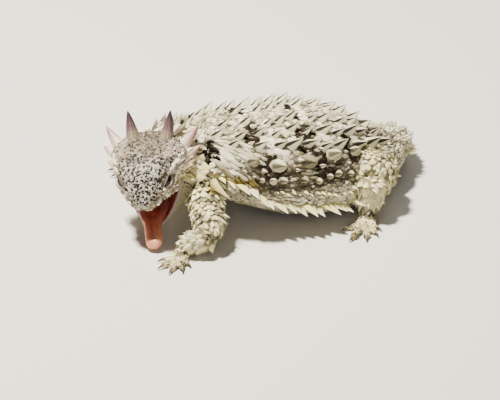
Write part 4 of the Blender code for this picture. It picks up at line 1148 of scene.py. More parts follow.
def tube(form, rings, around, start=0.0, end=1.0):
    """A closed tube over a form: points and faces, its ends closed on the path."""
    along = np.linspace(start, end, rings)
    points = form.grid(along, np.arange(around) * 360.0 / around).reshape(-1, 3)
    poles = smooth_curve(form.keys, form.centres, np.array([start, end]))
    quads, triangles = tube_faces(rings, around)
    return np.concatenate([points, poles]), quads, triangles


def joined_tubes(tubes):
    """Several (points, quads, triangles) as one."""
    shift = np.cumsum([0] + [len(t[0]) for t in tubes[:-1]])
    return (np.concatenate([t[0] for t in tubes]), np.concatenate([t[1] + s for t, s in zip(tubes, shift)]),
            np.concatenate([t[2] + s for t, s in zip(tubes, shift)]))


FLESH_NODES = ("torso", "neck", "head", "jaw", "tail_base", "tail_tip",
               *(f"{part}_{side}" for part in ("upper_arm", "forearm", "hand", "thigh", "shank", "foot")
                 for side in ("left", "right")))
# How far the skin is drawn in under its coat, and under the head's and the jaw's own hide
SKIN_INSET, HEAD_INSET, JAW_INSET = 0.12, 0.8, 1.4
SKIN_FLOOR_GAP = 0.03


def build_skin(voxel):
    """One skin over all forms: closed tubes joined by a voxel remesh, relaxed, then wrinkled.

    The wrinkles move each point along its normal by noise stretched along the body, on the flanks and neck.
    """
    tubes = []
    for _, kind, form in STATE["forms"]:
        inset = {HEAD: HEAD_INSET, JAW: JAW_INSET}.get(kind, SKIN_INSET)
        rings = max(14, int(form.length / 1.1))
        tubes.append(tube(form.shrunk(inset), rings, 64 if kind in (TRUNK, NECK, HEAD) else 36))
    skin = new_mesh("skin", *joined_tubes(tubes))
    remesh = skin.modifiers.new("one_skin", "REMESH")
    remesh.mode = "VOXEL"
    remesh.voxel_size = voxel
    relax = skin.modifiers.new("relax", "SMOOTH")
    relax.factor = 0.5
    relax.iterations = 6
    graph = bpy.context.evaluated_depsgraph_get()
    done = bpy.data.meshes.new_from_object(skin.evaluated_get(graph))
    skin.modifiers.clear()
    skin.data = done
    done.name = "skin"
    points, out = coordinates(skin), normals(skin)
    kinds = look_up(points)[0]
    z = points[:, 2]
    flank = np.isin(kinds, (TRUNK, NECK)) * ramp(24.0, 20.0, z) * ramp(7.0, 11.0, z)
    fold = grain(points * (1.0, 0.5, 1.7), 1.3, 31) - 0.5
    lump = grain(points, 2.2, 32) - 0.5
    move = (flank * fold * 0.9 + lump * 0.35) * ~np.isin(kinds, (HEAD, JAW))
    points = points + out * move[:, None]
    points[:, 2] = np.maximum(points[:, 2], SKIN_FLOOR_GAP)
    done.vertices.foreach_set("co", (points.astype(np.float32) * MM).ravel())
    done.update()
    done.polygons.foreach_set("use_smooth", np.ones(len(done.polygons), bool))
    STATE["skin"] = skin
    # Painted shade: the skin between the scales is darkened and browned
    paint_points(skin, mix(markings(points, normals(skin), kinds) * 0.55, HUES.bark, 0.40))
    return finish_piece(skin, material("dry_body_hide"), "hide", *FLESH_NODES)


def back_places():
    """Places of the large thorns, in staggered rows along the trunk on both sides."""
    rng = np.random.default_rng(11)
    places = []
    rows = ((52, 0.13, 0.96, 10, 1.0), (66, 0.10, 0.98, 11, 1.0), (80, 0.09, 0.98, 11, 0.9))
    for side in (1, -1):
        for number, (degrees, start, end, count, size) in enumerate(rows):
            for k in range(count):
                along = start + (end - start) * (k + 0.5 * (number % 2)) / count + rng.uniform(-0.012, 0.012)
                angle = degrees + rng.uniform(-3.0, 3.0)
                places.append((along, angle if side > 0 else 180 - angle, size * rng.uniform(0.80, 1.18)))
    return np.array(places)


def build_back(sizes):
    """Keeled thorns of the back: three-sided cones that lean towards the tail, with small ones between."""
    roots, places = planted("trunk", back_places(), 12)
    scale = places[:, 2] * sizes.thorn_height / (3.0 * MM)
    roots["streak"] = ramp(0.62, 0.80, scale)
    sprout("back_thorns", roots, scale)
    large = tree_of(roots["at"])

    def between(spots):
        """Places high on the trunk and clear of the large thorns."""
        free = np.array([large.find(p)[2] for p in spots]) > 2.5
        return (look_up(spots)[0] == TRUNK) & free & (spots[:, 2] > 19.0), np.ones(len(spots))

    roots = with_numbers(roots_at(scattered(3.0, between, 13)), 14)
    roots["streak"] = (roots["vary"] > 0.55) * 0.9
    sprout("back_thornlets", roots, roots["size"] * 0.60)


def build_domes():
    """Large domed scales of the flank: their height follows a rounded profile, with a blunt keeled point."""
    roots, table = planted("trunk", both_sides(DOMES), 21)
    roots["vary"] = table[:, 3]
    sprout("flank_domes", roots, table[:, 2] * 1.12)


def flat_spikes(name, roots, length, wide, thick, sweep, droop=0.0):
    """Flat pointed spikes that stand out and sweep back: broad along the body and thin across it."""
    aim = unit(roots["out"] + np.array((0.0, 0.0, droop)))
    return sprout(name, roots, roots["size"], aim, width=thick, length=wide, height=length, reach=sweep)


def build_fringe(sizes):
    """Two rows of fringe on each flank, the lower one long and the upper one short."""
    count = sizes.fringe_count
    length = sizes.fringe_length / MM
    rng = np.random.default_rng(5)
    for name, degrees, start, end, reach, wide, droop in (
            ("fringe_long", 1, 0.12, 0.93, length, 5.2, -0.35),
            ("fringe_short", 11, 0.20, 0.70, length * 0.42, 2.3, -0.2)):
        k = np.arange(count)
        along = start + (end - start) * k / (count - 1) + rng.uniform(-0.004, 0.004, count)
        taper = 0.68 + 0.32 * np.sin(math.pi * k / (count - 1))
        lifted = degrees + 13.0 * ramp(0.68, 0.95, along)
        table = both_sides(np.stack([along, lifted, taper], -1))
        table[:, 1] += rng.uniform(-1.5, 1.5, count * 2)
        roots, table = planted("trunk", table, 6)
        roots["out"] = unit(roots["out"] * (1.0, 1.0, 0.25))
        lay_back(roots, roots["back"])
        size = table[:, 2]
        flat_spikes(name, roots, reach * size, wide * size, 1.1 * size, reach * 0.50 * size, droop)


# Thorns of the nape as (along, angles), and fans of spikes as (along, angle, length)
NAPE_ROWS = ((0.44, (50, 72, 95, 118, 140)), (0.52, (60, 84, 108, 130)), (0.60, (50, 72, 96, 120)),
             (0.68, (64, 88, 112)), (0.75, (76, 104)))
NECK_FANS = ((0.44, 8, 3.0), (0.54, -12, 3.9), (0.44, -26, 3.2), (0.56, 22, 2.6), (0.64, 4, 2.8),
             (0.64, -26, 3.2), (0.50, -2, 2.4), (0.60, -40, 2.6), (0.50, 34, 2.2), (0.70, -10, 2.2),
             (0.70, 18, 2.0), (0.36, -10, 2.6))


def build_neck():
    """Strong thorns over the nape and shoulders, and fans of flat spikes on each side of the neck."""
    roots, _ = planted("neck", np.array([(a, d) for a, angles in NAPE_ROWS for d in angles], float), 31, 0.6)
    roots["brown"] = ramp(-28.0, -31.0, roots["at"][:, 1]) * (0.55 + 0.45 * roots["vary"])
    sprout("nape_thorns", roots, roots["size"])
    roots, table = planted("neck", both_sides(NECK_FANS), 33)
    size = table[:, 2]
    flat_spikes("neck_fans", roots, size * 1.15, size * 1.15, size * 0.42, size * 0.60)


def build_flaps():
    """Large pointed scales low on each side of the neck, each from its root towards its own tip."""
    table = np.array([(*root, *tip, wide, brown) for root, tip, wide, brown in NECK_FLAPS])
    table = np.concatenate([table, table * (-1, 1, 1, -1, 1, 1, 1, 1)])
    roots = roots_at(table[:, 0:3], 3.0)
    table = table[roots["kept"]]
    travel = table[:, 3:6] - roots["at"]
    lay_back(roots, travel)
    reach = np.linalg.norm(travel - roots["out"] * dot(travel, roots["out"]), axis=1)
    roots["brown"] = table[:, 7]
    wide = table[:, 6]
    sprout("neck_flaps", with_numbers(roots, 35), width=wide, length=wide * 0.85, reach=reach)


def build_tail():
    """Flat spikes along both sides of the tail and rows of keeled thorns over it, smaller towards the tip."""
    roots, table = planted("tail", both_sides([(a, -4.0) for a in np.linspace(0.05, 0.90, 24)]), 41)
    size = 0.34 + 0.72 * table[:, 0]
    flat_spikes("tail_fringe", roots, 2.6 * size, 2.0 * size, 0.9 * size, 2.0 * size)
    rows = np.array([(a, d + (8 if k % 2 else 0)) for k, a in enumerate(np.linspace(0.06, 0.97, 26))
                     for d in (30, 58, 90, 122, 150)])
    roots, rows = planted("tail", rows, 42, 0.3)
    sprout("tail_thorns", roots, (0.36 + 0.64 * rows[:, 0]) * roots["size"])


def rows_over(form, step_along, step_around, start, end, low=0.0, high=360.0):
    """Staggered rows of points over a form, at even steps along it and round it."""
    places = []
    rows = max(2, int(form.length * (end - start) / step_along))
    for k in range(rows):
        along = start + (end - start) * k / (rows - 1)
        wide, above, below = smooth_curve(form.keys, form.sizes, along)[0]
        girth = math.pi * (wide + (above + below) / 2)
        count = max(3, int(girth / step_around * (high - low) / 360.0))
        angles = low + (high - low) * (np.arange(count) + 0.5 * (k % 2)) / count
        places.append(np.stack([np.full(count, along), angles], -1))
    table = np.concatenate(places)
    return form.points(table[:, 0], table[:, 1])


def fill_gaps(rows, kind, spacing, seed):
    """The rows' points with points scattered over that kind of skin wherever the rows leave a gap."""
    where, _, kept = settle(rows)
    tree = tree_of(where[kept])

    def wanted(spots):
        """Places of that kind that lie in a gap."""
        far = np.array([tree.find(p)[2] for p in spots]) > spacing * 0.72
        return (look_up(spots)[0] == kind) & far, np.ones(len(spots))

    return np.concatenate([rows, scattered(spacing, wanted, seed)])


def build_limbs():
    """Overlapping pointed scales in rows round the legs, and keeled thorns on their outer sides."""
    limbs = [form for _, kind, form in STATE["forms"] if kind == LIMB]
    spots = np.concatenate([rows_over(form, 1.45, 1.75, 0.08, 0.97) for form in limbs])
    roots = with_numbers(roots_at(fill_gaps(spots, LIMB, 1.45, 53)), 51)
    sprout("limb_scales", roots, roots["size"] ** 1.5)
    along = np.repeat(np.linspace(0.30, 0.92, 5), 5)
    degrees = np.tile((20.0, 55.0, 90.0, 125.0, 160.0), 5) + np.repeat((0, 14, 0, 14, 0), 5)
    thorns = np.concatenate([form.points(along, degrees) for form in limbs])
    roots = with_numbers(roots_at(thorns), 52, 0.15)
    sprout("limb_thorns", roots, roots["size"] * 0.9)


def build_paws():
    """Small overlapping scales over hands, feet and digits, smallest on the digits."""
    spots = []
    for name, kind, form in STATE["forms"]:
        if kind == PAW:
            steps = (0.62, 0.75) if name.count("_") == 2 else (0.85, 1.0)
            spots.append(rows_over(form, *steps, 0.10, 0.96, -20, 200))
    roots = with_numbers(roots_at(fill_gaps(np.concatenate(spots), PAW, 0.75, 63)), 61)
    sprout("paw_scales", roots, roots["size"])


def build_granules(spacing):
    """Small scales over trunk, neck and tail between the thorns: rounded, keeled and pointing to the tail.

    They are larger on the back and on the blotches' pale rims, smaller in the dark blotches, drawn out long
    over the shoulder's fold and on the slack skin of the flank, and flatter under the belly.
    """
    def wanted(spots):
        """Places on trunk, neck and tail that are clear of the mouth, and how far apart they lie."""
        kinds = look_up(spots)[0]
        z = spots[:, 2]
        ahead, across, above = of_head(spots).T
        in_mouth = (ahead > -1.5) & (np.abs(across) < 9.0) & (above < -2.5)
        share = np.where(z < 20.5, 0.80, 1.25)
        share = np.where(kinds == TAIL, 0.85, share)
        share = np.where(z < 8.0, 0.95, share)
        dark, rim = blotch_share(spots)
        upper = ramp(14.0, 17.0, z)
        keep = np.isin(kinds, (TRUNK, NECK, TAIL)) & ~in_mouth
        return keep, share * (1.0 - 0.42 * dark * upper + 0.45 * rim * upper)

    roots = with_numbers(roots_at(scattered(spacing, wanted, 71, 4.0)), 72)
    _, y, z = roots["at"].T
    upper = z > 19.5
    dark, rim = blotch_share(roots["at"])
    grow = roots["size"] * np.where(upper, 1.38, 0.88) * spacing
    grow = grow * (1.0 + (0.50 * rim - 0.38 * dark) * ramp(14.0, 17.0, z))
    fold = ramp(-26.0, -22.0, y) * ramp(-9.0, -13.0, y) * ramp(15.5, 17.5, z) * ramp(28.0, 26.0, z)
    fold = fold * np.isin(roots["kind"], (TRUNK, NECK))
    slack = ramp(8.0, 10.0, z) * ramp(21.5, 19.5, z) * (roots["kind"] == TRUNK)
    slack = slack * ramp(0.40, 0.62, grain(roots["at"], 2.4, 73))
    lay_back(roots, roots["back"] + fold[:, None] * (0.0, 0.5, -1.6))
    long = 1.0 + 1.5 * fold + 0.7 * slack * (1 - fold)
    height = np.where(upper, 0.24, 0.30) * np.where(roots["out"][:, 2] < -0.15, 0.45, 1.0)
    half = len(roots["at"]) // 2
    for number, chosen in enumerate((slice(0, half), slice(half, None))):
        part = {key: value[chosen] for key, value in roots.items() if key != "kept"}
        drawn = long[chosen]
        sprout(f"granules_{number}", part, grow[chosen], width=1.25 / drawn**0.4, length=1.45 * drawn,
               height=height[chosen], reach=0.42)


# Horns: name, root (forward, left, up), tip and root radius in the head's own frame
HORNS = (
    ("horn_occipital", (-2.4, 4.9, 4.3), (-8.6, 6.4, 9.6), 2.0),
    ("horn_temporal_1", (-1.4, 9.0, 1.8), (-7.2, 13.8, 4.2), 1.9),
    ("horn_temporal_2", (1.4, 9.6, 0.6), (-2.6, 14.6, 1.0), 1.6),
    ("horn_temporal_3", (4.4, 9.0, 0.0), (1.6, 13.2, -0.6), 1.3),
)
# Tones of each horn from its root to its tip
HORN_TONES = {
    "horn_occipital": ("94886E", "64484A", "402A2E", "141114"),
    "horn_temporal_1": ("D2C7AC", "BFA292", "A8787C", "8C5658"),
    "horn_temporal_2": ("DCD2B8", "D2C0A6", "C09C90", "A67A76"),
    "horn_temporal_3": ("E0D4B4", "D6C4A2", "C6A88C", "B08A76"),
}
# The horns' path as (share of the length, share of the radius, lift), and their ribs as (waves, phase, depth)
HORN_PATH = ((-0.16, 0.92, 0.0), (0.0, 1.0, 0.0), (0.35, 0.84, -0.02), (0.7, 0.52, 0.0), (0.92, 0.20, 0.045),
             (1.0, 0.05, 0.06))
HORN_RIBS = ((7, 0.4, 0.4), (13, 2.1, 0.8), (19, 4.0, 1.0), (29, 1.2, 0.7))
HORN_RINGS, HORN_AROUND = 44, 84
# How far the hide hangs down and stands out under the eye, in millimetres
CHEEK_DOWN, CHEEK_OUT = 3.2, 0.5
NOSTRIL = (16.3, 2.3, 1.2)


def build_horns():
    """Horns as tubes along a path that lifts a little, with lengthwise ribs.

    The radius is the profile's times 1 + a sum of sines round the horn, which fade towards the tip.
    """
    up = head_axes()[2]
    count = HORN_RINGS * HORN_AROUND
    t = np.repeat(np.linspace(0, 1, HORN_RINGS), HORN_AROUND)
    angle = np.tile(np.arange(HORN_AROUND) / HORN_AROUND * 2 * math.pi, HORN_RINGS)
    for name, root, tip, radius in HORNS:
        large = name == "horn_occipital"
        for side, turn in (("left", 1), ("right", -1)):
            start, end = (in_head((f, l * turn, u)) for f, l, u in (root, tip))
            travel = end - start
            size = np.linalg.norm(travel)
            stations = [(start + travel * s + up * b * size, *(r * radius,) * 3) for s, r, b in HORN_PATH]
            form = Sweep(stations, up=up, squareness=2.0)
            points, quads, triangles = tube(form, HORN_RINGS, HORN_AROUND)
            ribs = np.zeros(count)
            for wave, phase, part in HORN_RIBS:
                ribs += part * np.sin(wave * angle + phase + turn + 1.5 * np.sin(2.2 * t + wave))
            centre = smooth_curve(form.keys, form.centres, t)
            ring = 0.014 * np.sin(t * 46.0 + np.sin(angle * 3)) * (1 - t)
            swell = 1.0 + 0.020 * ribs * (1.0 - t) + ring
            points[:count] = centre + (points[:count] - centre) * swell[:, None]
            base = blend_of(HORN_TONES[name], (0.0, 0.42, 0.72, 1.0), np.clip(t * 1.16 - 0.16, 0, 1))
            streak = ramp(0.25, 1.2, ribs) * (0.45 + 0.40 * ramp(0.1, 0.5, t))
            base = base * (1.0 - streak[:, None] * (0.75 if large else 0.35))
            base = mix(base, HUES.ivory, ramp(0.5, 1.9, -ribs) * (0.05 if large else 0.15))
            piece = new_mesh(f"{name}_{side}_horn", points, quads, triangles)
            paint_points(piece, with_ends(base))
            slot = "dark_horn" if large else "pale_horn"
            finish_piece(piece, material("keratin_horn"), slot, f"{name}_{side}")


# How far an eye's axis turns up and forward from the side of the head
EYE_LIFT = 0.85
EYE_AHEAD = 0.60


def eye_frame(side):
    """(centre, outward, forward, upward) of an eye."""
    forward, left, up = head_axes()
    centre = in_head((EYE_AT[0], EYE_AT[1] * side, EYE_AT[2]))
    outward = unit(left * side + up * EYE_LIFT + forward * EYE_AHEAD)
    ahead = unit(forward - outward * np.dot(forward, outward))
    above = np.cross(outward, ahead) * side
    above = above if np.dot(above, up) > 0 else -above
    return centre, outward, ahead, above


def dome(centre, outward, ahead, above, angles_x, angles_y, radius):
    """Points on a ball at angles from its outward axis: x towards the front, y upwards."""
    angle = np.hypot(angles_x, angles_y)
    turn = np.where(angle > 1e-9, np.sin(angle) / np.maximum(angle, 1e-9), 1.0)
    way = outward * np.cos(angle)[:, None] + ahead * (turn * angles_x)[:, None]
    way = way + above * (turn * angles_y)[:, None]
    return centre + way * radius[:, None]


def build_eyes():
    """Eyeballs as fine balls that swell a little at the cornea, dark with a faint brown iris."""
    rings, columns = 40, 64
    a, b = grid_of(np.linspace(0.0, math.pi, rings), np.arange(columns) / columns * 2 * math.pi)
    for name, side in (("left", 1), ("right", -1)):
        cornea = EYE_RADIUS * (1.0 + 0.05 * np.exp(-(a / 0.45) ** 2))
        points = dome(*eye_frame(side), a * np.cos(b), a * np.sin(b), cornea)
        faces = sheet_faces(rings, columns, True)
        piece = new_mesh(f"eyeball_{name}", points, faces if side < 0 else faces[:, ::-1])
        iris = np.exp(-((a - 0.42) / 0.10) ** 2)
        paint_points(piece, mix(linear("080606"), linear("2E1C0E"), iris * 0.6))
        merge_doubles(piece.data)
        finish_piece(piece, material("wet_eye"), "eye", "eye_" + name)


def merge_doubles(mesh, distance=0.00001):
    """Merges points at the same place and turns the faces outwards."""
    bm = bmesh.new()
    bm.from_mesh(mesh)
    bmesh.ops.remove_doubles(bm, verts=bm.verts, dist=distance)
    bmesh.ops.recalc_face_normals(bm, faces=bm.faces)
    bm.to_mesh(mesh)
    bm.free()


# Half angles of the opening between the lids and of the socket, across and up, and the grid of each lid
SLIT_X, SLIT_Y = math.radians(66), math.radians(21)
SOCKET_X, SOCKET_Y = math.radians(104), math.radians(92)
LID_AROUND = 150
LID_THICKNESS = 0.10 * MM


def build_lids():
    """Eyelids: two shells over each ball, from the edge of a narrow opening out to the socket.

    A lid's point is on the ball at an angle that grows from the opening's ellipse to the socket's. Its height
    over the ball rises quickly at the edge, stays level with granules on it, and then sinks under the cheek.
    """
    shells = []
    t = np.concatenate([[-0.06, -0.02], np.linspace(0.0, 1.0, 40)])
    a, b = grid_of(t, np.arange(LID_AROUND) / LID_AROUND * 2 * math.pi)
    x = np.cos(b) * (SLIT_X + (SOCKET_X - SLIT_X) * np.maximum(a, 0))
    y = np.sin(b) * (SLIT_Y + (SOCKET_Y - SLIT_Y) * np.maximum(a, 0)) + math.radians(-5) * (1 - a)
    rise = 0.30 * ramp(-0.02, 0.10, a) + 0.22 * ramp(0.1, 0.45, a) - 0.9 * ramp(0.62, 1.0, a)
    rise = np.where(a < 0, -0.12, rise)
    faces = sheet_faces(len(t), LID_AROUND, True)
    for side in (1, -1):
        eye = eye_frame(side)
        points = dome(*eye, x, y, EYE_RADIUS + rise)
        out = unit(points - eye[0])
        first = cobble(points, 0.50, 91)[0]
        granules = 0.15 * (0.6 - first) * ramp(0.04, 0.16, a) * (1 - ramp(0.8, 1.0, a))
        points = points + out * granules[:, None]
        tone = mix(linear("5E5142"), linear("B5A88E"), 1.0 - ramp(0.25, 0.55, first))
        tone = mix(tone, linear("EDE7D6"), ramp(0.09, 0.03, a) * (a > -0.01) * 0.95)
        tone = mix(tone, HUES.pitch, ramp(-0.005, -0.03, a) * 0.9)
        tone = mix(tone, linear("4E4236"), ramp(0.08, 0.11, a) * ramp(0.24, 0.15, a) * 0.7)
        shells.append((points, faces if side < 0 else faces[:, ::-1], tone))
    points, quads, tones = zip(*shells)
    piece = new_mesh("eyelids", np.concatenate(points), np.concatenate([quads[0], quads[1] + len(points[0])]))
    paint_points(piece, np.concatenate(tones))
    depth = piece.modifiers.new("skin_depth", "SOLIDIFY")
    depth.thickness = LID_THICKNESS
    depth.offset = -1.0
    finish_piece(piece, material("dry_head_hide"), "hide")


def head_relief(points, out):
    """How far the head's hide stands out of the plain form, and its colour there.

    The relief adds plates (domes on a cobble), pits on a finer cobble, a brow ridge that ends in a small
    horn, a ridge to the nostril, a lip fold and the socket, and takes the nostril away. The colour has
    painted shade round the socket, a painted shadow in the nostril and painted highlights as ivory flecks.
    """
    f, l, u = of_head(points).T
    side = np.abs(l)
    facing = out @ head_axes()[2]
    plates, _, plate_tone = cobble(points, 1.25, 81)
    bent = points + (grain(points, 0.8, 86) - 0.5)[:, None] * (0.9, -0.7, 0.8)
    pits, _, pit_luck = cobble(bent, 0.86, 82)
    net, next_net, _ = cobble(bent, 1.5, 87)
    small, _, _ = cobble(points, 0.55, 83)
    crown = ramp(0.25, 0.6, facing)
    snout = ramp(5.0, 8.5, f) * crown
    density = 0.32 + 0.74 * snout + 0.62 * crown * ramp(7.0, 4.0, side) * ramp(10.0, 6.0, f)
    density = density - 0.2 * ramp(0.1, -0.3, facing)
    pit = (pit_luck < density) * (1.0 - ramp(0.41, 0.52, pits)) * ramp(-0.2, 0.1, facing)
    rough = 0.26 * (1.0 - ramp(0.15, 0.62, plates)) + 0.14 * (1.0 - ramp(0.2, 0.55, small))
    lift = rough - 0.20 * pit
    brow_line = 4.6 - 0.16 * np.abs(f - 8.0)
    brow = np.exp(-((side - brow_line) / 0.9) ** 2) * ramp(3.5, 6.0, f) * ramp(14.5, 11.0, f) * crown
    brow_horn = np.exp(-((side - 6.4) ** 2 + (f - 5.6) ** 2) / 0.9) * ramp(0.0, 0.3, facing)
    canthus = np.exp(-((side - (4.4 - 0.36 * (f - 12.0))) / 0.7) ** 2) * ramp(11.5, 13.0, f)
    canthus = canthus * ramp(17.5, 15.5, f) * crown
    centre = np.array(EYE_AT) + unit(np.array((EYE_AHEAD, 1.0, EYE_LIFT))) * 1.7
    to_eye = np.sqrt((f - centre[0]) ** 2 + (side - centre[1]) ** 2 + (u - centre[2]) ** 2)
    socket = 1.0 - ramp(1.9, 2.9, to_eye)
    lift = lift + 0.75 * brow * ramp(1.8, 3.0, to_eye) + 1.1 * brow_horn
    lift = lift + 0.3 * canthus * ramp(2.2, 3.4, to_eye) - 2.2 * socket
    to_nostril = np.sqrt((f - NOSTRIL[0]) ** 2 + (side - NOSTRIL[1]) ** 2 + (u - NOSTRIL[2]) ** 2)
    nostril = np.exp(-to_nostril ** 2 / 0.32)
    nostril_rim = np.exp(-((to_nostril - 0.85) / 0.3) ** 2)
    lift = lift - 0.75 * nostril + 0.22 * nostril_rim
    beige, tan, pale = linear("B2A384"), linear("84735A"), linear("E2D9C2")
    tone = mix(beige, tan, ramp(0.35, 0.75, grain(points, 3.0, 84)) * 0.55)
    tone = mix(tone, tan, crown * ramp(3.5, 0.0, f) * ramp(5.5, 3.0, side) * 0.5)
    tone = mix(tone, pale, (1.0 - ramp(0.12, 0.5, plates)) * 0.65)
    tone = mix(tone, pale, ramp(5.2, 7.2, side) * ramp(9.0, 5.0, f) * 0.75)
    # Painted highlights: ivory flecks over the front of the head
    tone = mix(tone, HUES.ivory, ramp(0.50, 0.72, grain(points, 0.8, 88)) * ramp(3.5, 6.0, f) * 0.55)
    tone = tone * (0.85 + 0.3 * plate_tone)[:, None]
    seams = ramp(0.42, 0.68, plates) * 0.35 + ramp(0.40, 0.60, small) * 0.35
    tone = mix(tone, linear("6F614B"), seams)
    between = ramp(0.46, 0.60, pits) * ramp(6.0, 10.0, f) * crown * ramp(1.0, 0.5, side / 8.0)
    tone = mix(tone, linear("F4EEDE"), between * 0.70)
    dark = linear("17110E")
    pit_rim = (pit_luck < density) * (1.0 - ramp(0.40, 0.62, pits)) * ramp(-0.2, 0.1, facing)
    tone = mix(tone, linear("5B4C3B"), pit_rim * 0.45)
    tone = tone * (1.0 - crown * (0.30 - 0.12 * ramp(6.0, 10.0, f)))[:, None]
    tone = mix(tone, dark, ramp(0.13, 0.05, next_net - net) * crown * (0.40 + 0.35 * snout))
    tone = mix(tone, dark, ramp(0.20, 0.65, pit) * 0.97)
    cheek = ramp(0.45, 0.1, facing) * ramp(5.0, 8.0, f)
    tone = mix(tone, linear("5A4630"), ramp(0.54, 0.70, grain(points, 1.5, 89)) * cheek * 0.70)
    tone = mix(tone, dark, ramp(0.62, 0.74, grain(points, 0.75, 90)) * cheek * 0.75)
    # Painted shade round the eye's socket
    tone = mix(tone, linear("3D3026"), np.clip(ramp(3.6, 2.6, to_eye) * 0.55, 0, 1))
    # Painted shadow in the nostril's opening
    tone = mix(tone, dark, np.clip(nostril * 1.6, 0, 1))
    tone = mix(tone, linear("C9A894"), np.clip(brow_horn * 1.2, 0, 1) * 0.35)
    return lift, tone


def hide_shell(name, along, degrees, points, tone, wet, end_height):
    """The head's or the jaw's hide as a closed tube; its end points lie at one height on the unwrap."""
    form = form_of(name)
    poles = smooth_curve(form.keys, form.centres, np.array([0.0, 1.0]))
    quads, triangles = tube_faces(len(along), len(degrees))
    piece = new_mesh(name + "_hide", np.concatenate([points, poles]), quads, triangles)
    paint_points(piece, with_ends(tone), np.append(wet, (0, 0)))
    left, _, wide, _ = map_tile(name)
    ends = [(left, end_height), (left + wide, end_height)]
    lay_map(piece, np.concatenate([map_places(name, *grid_of(along, degrees)), ends]))
    finish_piece(piece, material("dry_head_hide"), "hide")


def build_head():
    """The head's own fine hide, a closed shell over its form: rough above the lips, smooth and red below."""
    along = np.concatenate([np.linspace(0.0, 0.12, 12, endpoint=False),
                            np.linspace(0.12, 0.93, 180, endpoint=False), np.linspace(0.93, 1.0, 40)])
    degrees = np.concatenate([np.linspace(-36, 216, 300, endpoint=False),
                              np.linspace(216, 324, 26, endpoint=False)])
    a, d = grid_of(along, degrees)
    points, out, _ = form_of("head").lie(a, d)
    points = points + cheek_sag(points)
    above = ramp(324, 330, d % 360) + (d % 360 < 212) + ramp(216, 210, d % 360) * (d % 360 >= 212)
    above = np.clip(above, 0, 1) * (1 - ramp(0.985, 1.0, a)) * ramp(0.0, 0.04, a)
    lift, tone = head_relief(points, out)
    lip = np.exp(-(((d + 34) % 360 - np.where(d > 90, 248, 0)) / 7.0) ** 2) * ramp(0.28, 0.36, a)
    points = points + out * (lift * above + 0.25 * lip - 0.02)[:, None]
    inside = ramp(213, 218, d % 360) * ramp(327, 322, d % 360) * ramp(0.22, 0.30, a)
    vault = mix(HUES.maroon, linear("6A1C18"), ramp(0.3, 0.9, grain(points, 2.5, 85)) * 0.5)
    hide_shell("head", along, degrees, points, mix(tone, vault, inside), inside, 0.1)


def head_roots(name, along, degrees, seed, code="DAD0B6"):
    """Roots on the head's or the jaw's own form, with the way back along it and one colour for all."""
    here, out, back = form_of(name).lie(along, degrees)
    if name == "head":
        here = here + cheek_sag(here)
    roots = {"at": here, "out": out, "back": back, "side": np.cross(out, back),
             "map": map_places(name, along, degrees), "tone": np.tile(linear(code), (len(here), 1))}
    return with_numbers(roots, seed)


# Spikes of the brow and cheek as (along, angle, length, half width, lift)
CHEEK_SPIKES = ((0.50, 22, 2.0, 0.9, .35), (0.58, 25, 1.5, 0.8, .35), (0.30, -4, 2.0, 0.9, 0.0),
                (0.34, -22, 2.3, 0.9, -.25), (0.42, -30, 1.9, 0.8, -.3), (0.40, -12, 1.3, 0.7, 0.0),
                (0.40, 8, 1.2, 0.7, 0.1), (0.26, -26, 2.0, 0.9, -.2), (0.22, 4, 1.8, 0.9, 0.1))
LIP_COUNT = 22
# Millimetres round the middle of an eye that stay free of cheek scales
EYE_CLEARANCE = 3.15


def build_face_scales():
    """Lip scales, brow and cheek spikes, and raised scales on the cheeks."""
    along, degrees, _ = both_sides([(a, -33.0) for a in np.linspace(0.34, 0.975, LIP_COUNT)]).T
    size = 0.95 - 0.30 * along
    sprout("lip_scales", head_roots("head", along, degrees, 101, "E4D9A8"),
           width=1.15 * size + 0.25, length=0.86 * size + 0.2, height=0.62 * size, reach=0.05)
    along, degrees, length, half, lift, side = both_sides(CHEEK_SPIKES).T
    grow = np.where(along < 0.45, 1.30, 1.0)
    half = half * grow * 1.15
    forward, left, up = head_axes()
    aim = unit(left * side[:, None] * 0.8 - forward * 0.55 + up * lift[:, None])
    sprout("cheek_spikes", head_roots("head", along, degrees, 102, "E6DCC6"), aim=aim,
           width=half * 1.5, length=half * 2.2, height=length * grow, reach=0.3)
    rng = np.random.default_rng(103)
    rows = np.array([(a + rng.uniform(-.01, .01), d + rng.uniform(-2, 2), side) for side in (1, -1)
                     for k, a in enumerate(np.arange(0.16, 0.93, 0.040))
                     for d in np.arange(-24 + 3.5 * (k % 2), 24, 7.0)])
    degrees = np.where(rows[:, 2] > 0, rows[:, 1], 180 - rows[:, 1])
    roots = head_roots("head", rows[:, 0], degrees, 104)
    eyes = np.array([in_head((EYE_AT[0], EYE_AT[1] * side, EYE_AT[2])) for side in (1, -1)])
    clear = np.min(np.linalg.norm(roots["at"][:, None] - eyes[None], axis=2), axis=1) > EYE_CLEARANCE
    roots = {key: value[clear] for key, value in roots.items()}
    sprout("cheek_scales", roots, roots["size"])


# Rows of shields under the chin: count, start and span along the jaw, angle, size, first share and fall
CHIN_ROWS = ((8, 0.24, 0.64, -22, 2.75, 1.12, 0.55), (9, 0.22, 0.68, -4, 1.35, 1.1, 0.45),
             (7, 0.26, 0.60, -44, 1.7, 1.1, 0.5))


